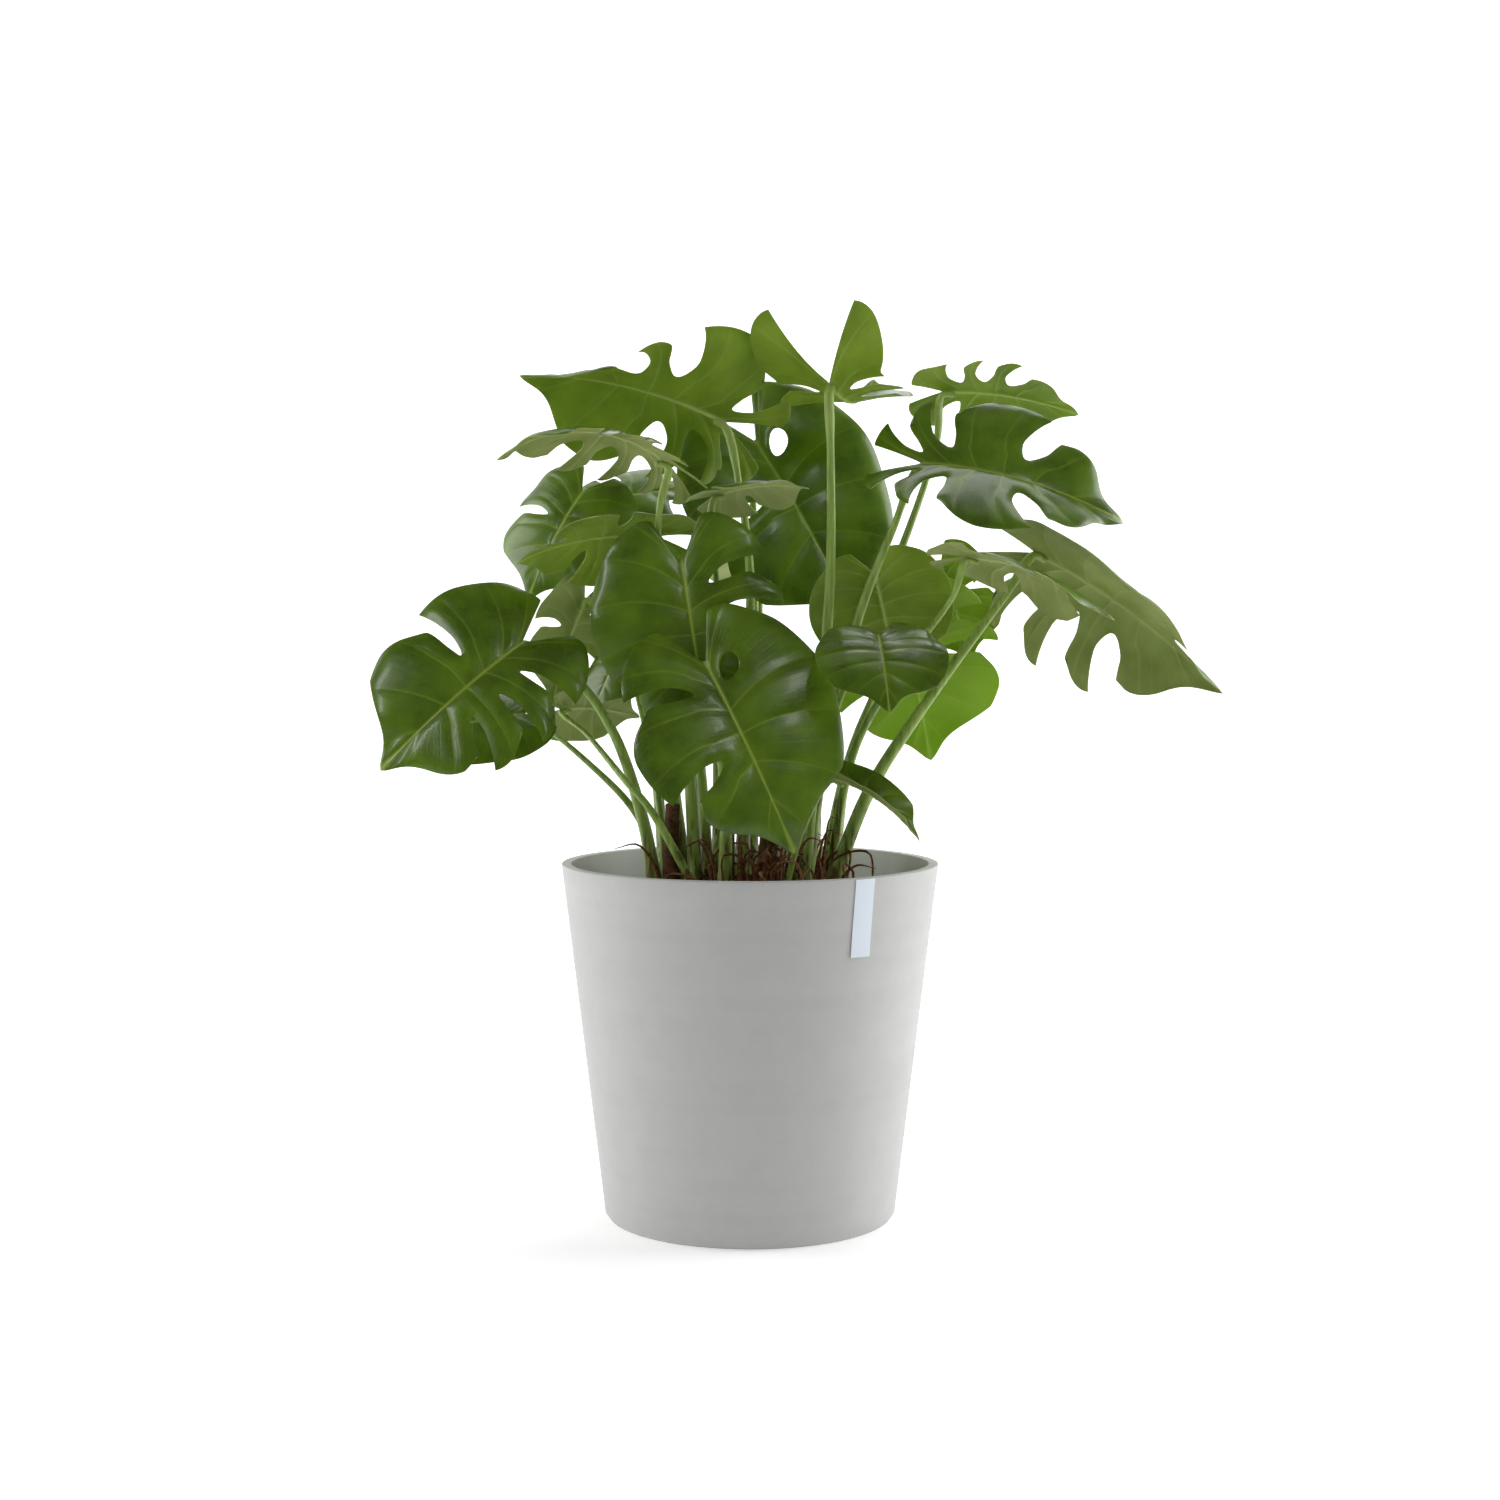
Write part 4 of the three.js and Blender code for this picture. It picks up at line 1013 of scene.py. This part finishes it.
# %% Making every stalk
for leaf in leaves:
    place = leaf["place"]
    along, face = place.col[0].xyz, place.col[2].xyz
    drop = (leaf["thick"][1] + 1.2) * MM
    end = place.translation - face * drop
    into = place.translation + along * 0.014 - face * 0.0025
    path = smooth_path([*from_soil(leaf["stalk"]), end, into], 90)
    foot, tip = leaf["thick"][0] * MM * 0.95, leaf["thick"][1] * MM * 0.62
    mesh = tubes([path], foot, tip, 16, stalk_skin, sheath=0.35, knuckle=0.45)
    add_piece(f"petiole_{leaf['name']}", mesh, f"stalk_{leaf['name']}", crease=70)
print("stalks:", len(leaves))

# %% Making the stems and the aerial roots
STEMS = {
    "stem_left": ([(-88, -38), (-92, -42, 430), (-90, -48, 492)], (11, 8)),
    "stem_centre": ([(18, -20), (20, -18, 420), (24, -20, 470)], (13, 10)),
}
for name, (corners, thick) in STEMS.items():
    path = smooth_path(from_soil(corners), 60)
    mesh = tubes([path], thick[0] * MM, thick[1] * MM, 24, stem_bark,
                 sheath=0.1, rings=6.0, ring_height=0.14)
    add_piece(f"{name}_bark", mesh, name, crease=70)
ROOTS = {
    "aerial_root_front": [(10, -95), (8, -98, 420), (22, -60, 445)],
    "aerial_root_middle": [(84, -74), (81, -79, 418), (78, -87, 432)],
    "aerial_root_left": [(-8, -60), (-8, -55, 420), (6, -36, 436)],
}
for name, corners in ROOTS.items():
    mesh = tubes([smooth_path(from_soil(corners), 40)], 0.0026, 0.0024, 12, root_skin,
                 knuckle=-0.6, rings=11.0, ring_height=0.2)
    add_piece(f"{name}_fine", mesh, name, crease=70)
print("stems:", len(STEMS), "aerial roots:", len(ROOTS))

# %% [markdown]
# Between the stalks the real plant has a tangle of thin, dry roots. They arch up out of the
# soil and back into it. Near them stand the dry, pointed ends of old leaf sheaths. All are
# drawn by the same tree, the roots in one run and the sheath ends in another.

# %% Rootlets and dry sheath ends
ROOTLETS, SHEATH_ENDS, ROOT_FOOT = 44, 22, SOIL_TOP - 0.004
chance = random.Random(21)
paths = []
for _ in range(ROOTLETS):
    turn, out = chance.uniform(0, 2 * math.pi), 0.10 * chance.random() ** 0.6
    foot = Vector((0.02 + out * math.cos(turn), -0.06 + 0.75 * out * math.sin(turn), ROOT_FOOT))
    heading, span = chance.uniform(0, 2 * math.pi), chance.uniform(0.025, 0.07)
    ahead = Vector((math.cos(heading), math.sin(heading), 0)) * span
    rise = chance.uniform(0.02, 0.065)
    sway = Vector((chance.uniform(-1, 1), chance.uniform(-1, 1), 0)) * 0.012
    corners = [foot, foot + ahead * 0.25 + sway + Vector((0, 0, rise * 0.8)),
               foot + ahead * 0.65 - sway + Vector((0, 0, rise)), foot + ahead]
    paths.append(smooth_path(corners, 22))
rootlets = tubes(paths, 0.0016, 0.0011, 7, root_skin, rings=5.0, ring_height=0.25)
paths = []
for _ in range(SHEATH_ENDS):
    turn, out = chance.uniform(0, 2 * math.pi), chance.uniform(0.05, 0.11)
    foot = Vector((out * math.cos(turn), -0.03 + 0.8 * out * math.sin(turn), ROOT_FOOT))
    lean = Vector((math.cos(turn), math.sin(turn), 0)) * chance.uniform(0.01, 0.03)
    rise = chance.uniform(0.04, 0.1)
    corners = [foot + lean * out + Vector((0, 0, rise * up))
               for out, up in ((0, 0), (0.3, 0.6), (1, 1), (1.9, 0.93))]
    paths.append(smooth_path(corners, 16))
sheaths = tubes(paths, 0.0034, 0.0004, 7, root_skin)
add_piece("dry_sheath_ends", sheaths, None)
add_piece("rootlets", rootlets, None)
print("sheath end faces:", len(sheaths.polygons), "rootlet faces:", len(rootlets.polygons))

# %% [markdown]
# ## Stage, light and camera
#
# A white sweep: the floor runs back and curves up into a wall, so that there is no horizon.
# It glows a little, more at the back, so that the wall is white and the floor keeps a faint
# shadow. Two big soft lights stand left and right and a little behind, so the planter is
# lighter at its sides than in front. One above and behind shines through the high blades, and
# two narrow ones in front draw the highlights on their wax. The world's white is full only
# for the camera, and dim as a light.

# %% The sweep
profile = [(-4.0, 0.0), (2.2, 0.0)]
profile += [(2.2 + 1.2 * math.sin(a), 1.2 - 1.2 * math.cos(a))
            for a in np.linspace(0.1, math.pi / 2, 14)]
profile += [(3.4, 5.0)]
points = [(x, y, z - 0.0002) for x in (-5.0, 5.0) for y, z in profile]
n = len(profile)
faces = [(i, n + i, n + i + 1, i + 1) for i in range(n - 1)]
sweep_mesh = plain_mesh("sweep", points, faces)
paper, tree, shader, place = start_material("studio_paper")
set_shader(shader, Base_Color="#f6f6f6", Roughness=0.9, Emission_Color="#ffffff")
back = add(tree, "SeparateXYZ", [place], "Y")
glow = add(tree, "MapRange", [back, 0.4, 2.4, 0.28, 0.66])
set_shader(shader, Emission_Strength=glow)
sweep_mesh.materials.append(paper)
sweep_mesh.shade_smooth()
sweep = bpy.data.objects.new("sweep", sweep_mesh)
bpy.context.scene.collection.objects.link(sweep)
print("sweep has", len(faces), "faces")


# %% Lights
def softbox(name, place, target, size, power):
    """A square soft light that faces a target point."""
    data = bpy.data.lights.new(name, "AREA")
    data.shape = "RECTANGLE"
    data.size, data.size_y, data.energy = *size, power
    lamp = bpy.data.objects.new(name, data)
    lamp.location = place
    lamp.rotation_euler = (Vector(target) - Vector(place)).to_track_quat("-Z", "Y").to_euler()
    bpy.context.scene.collection.objects.link(lamp)


softbox("soft_left", (-2.4, 0.4, 1.2), (0, 0, 0.5), (1.6, 2.4), 44)
softbox("soft_right", (2.4, 0.4, 1.2), (0, 0, 0.5), (1.6, 2.4), 60)
softbox("soft_top", (0.6, 1.4, 2.8), (0, 0, 0.6), (1.6, 1.6), 22)
softbox("gloss_left", (-1.9, -1.7, 1.9), (0, 0, 0.7), (0.35, 1.0), 14)
softbox("gloss_right", (1.2, -2.2, 2.4), (0, 0, 0.7), (0.3, 0.8), 8)
world = bpy.data.worlds.new("studio_white")
bpy.context.scene.world = world
world.use_nodes = True
tree = world.node_tree
backdrop = add(tree, "Background", {"Color": "#ffffff", "Strength": 1.0})
dim = add(tree, "Background", {"Color": "#ffffff", "Strength": 0.12})
seen = add(tree, "LightPath", out="Is Camera Ray")
either = add(tree, "MixShader", [seen, dim, backdrop])
feed(tree.nodes["World Output"], [("Surface", either)])
bpy.context.scene.view_settings.view_transform = "Standard"

# %% [markdown]
# The camera stands 2.7 m in front at chest height and looks 3 degrees down, which keeps the
# planter's walls nearly straight and shows its rim as a thin ellipse.

# %% Camera
camera_data = bpy.data.cameras.new("camera")
camera_data.lens, camera_data.sensor_width = 54.9, 36.0
camera = bpy.data.objects.new("camera", camera_data)
camera.location = (0, -2.704, 0.692)
camera.rotation_euler = (math.radians(90 - 2.95), 0, 0)
bpy.context.scene.collection.objects.link(camera)
bpy.context.scene.camera = camera
print("camera lens", camera_data.lens, "mm")
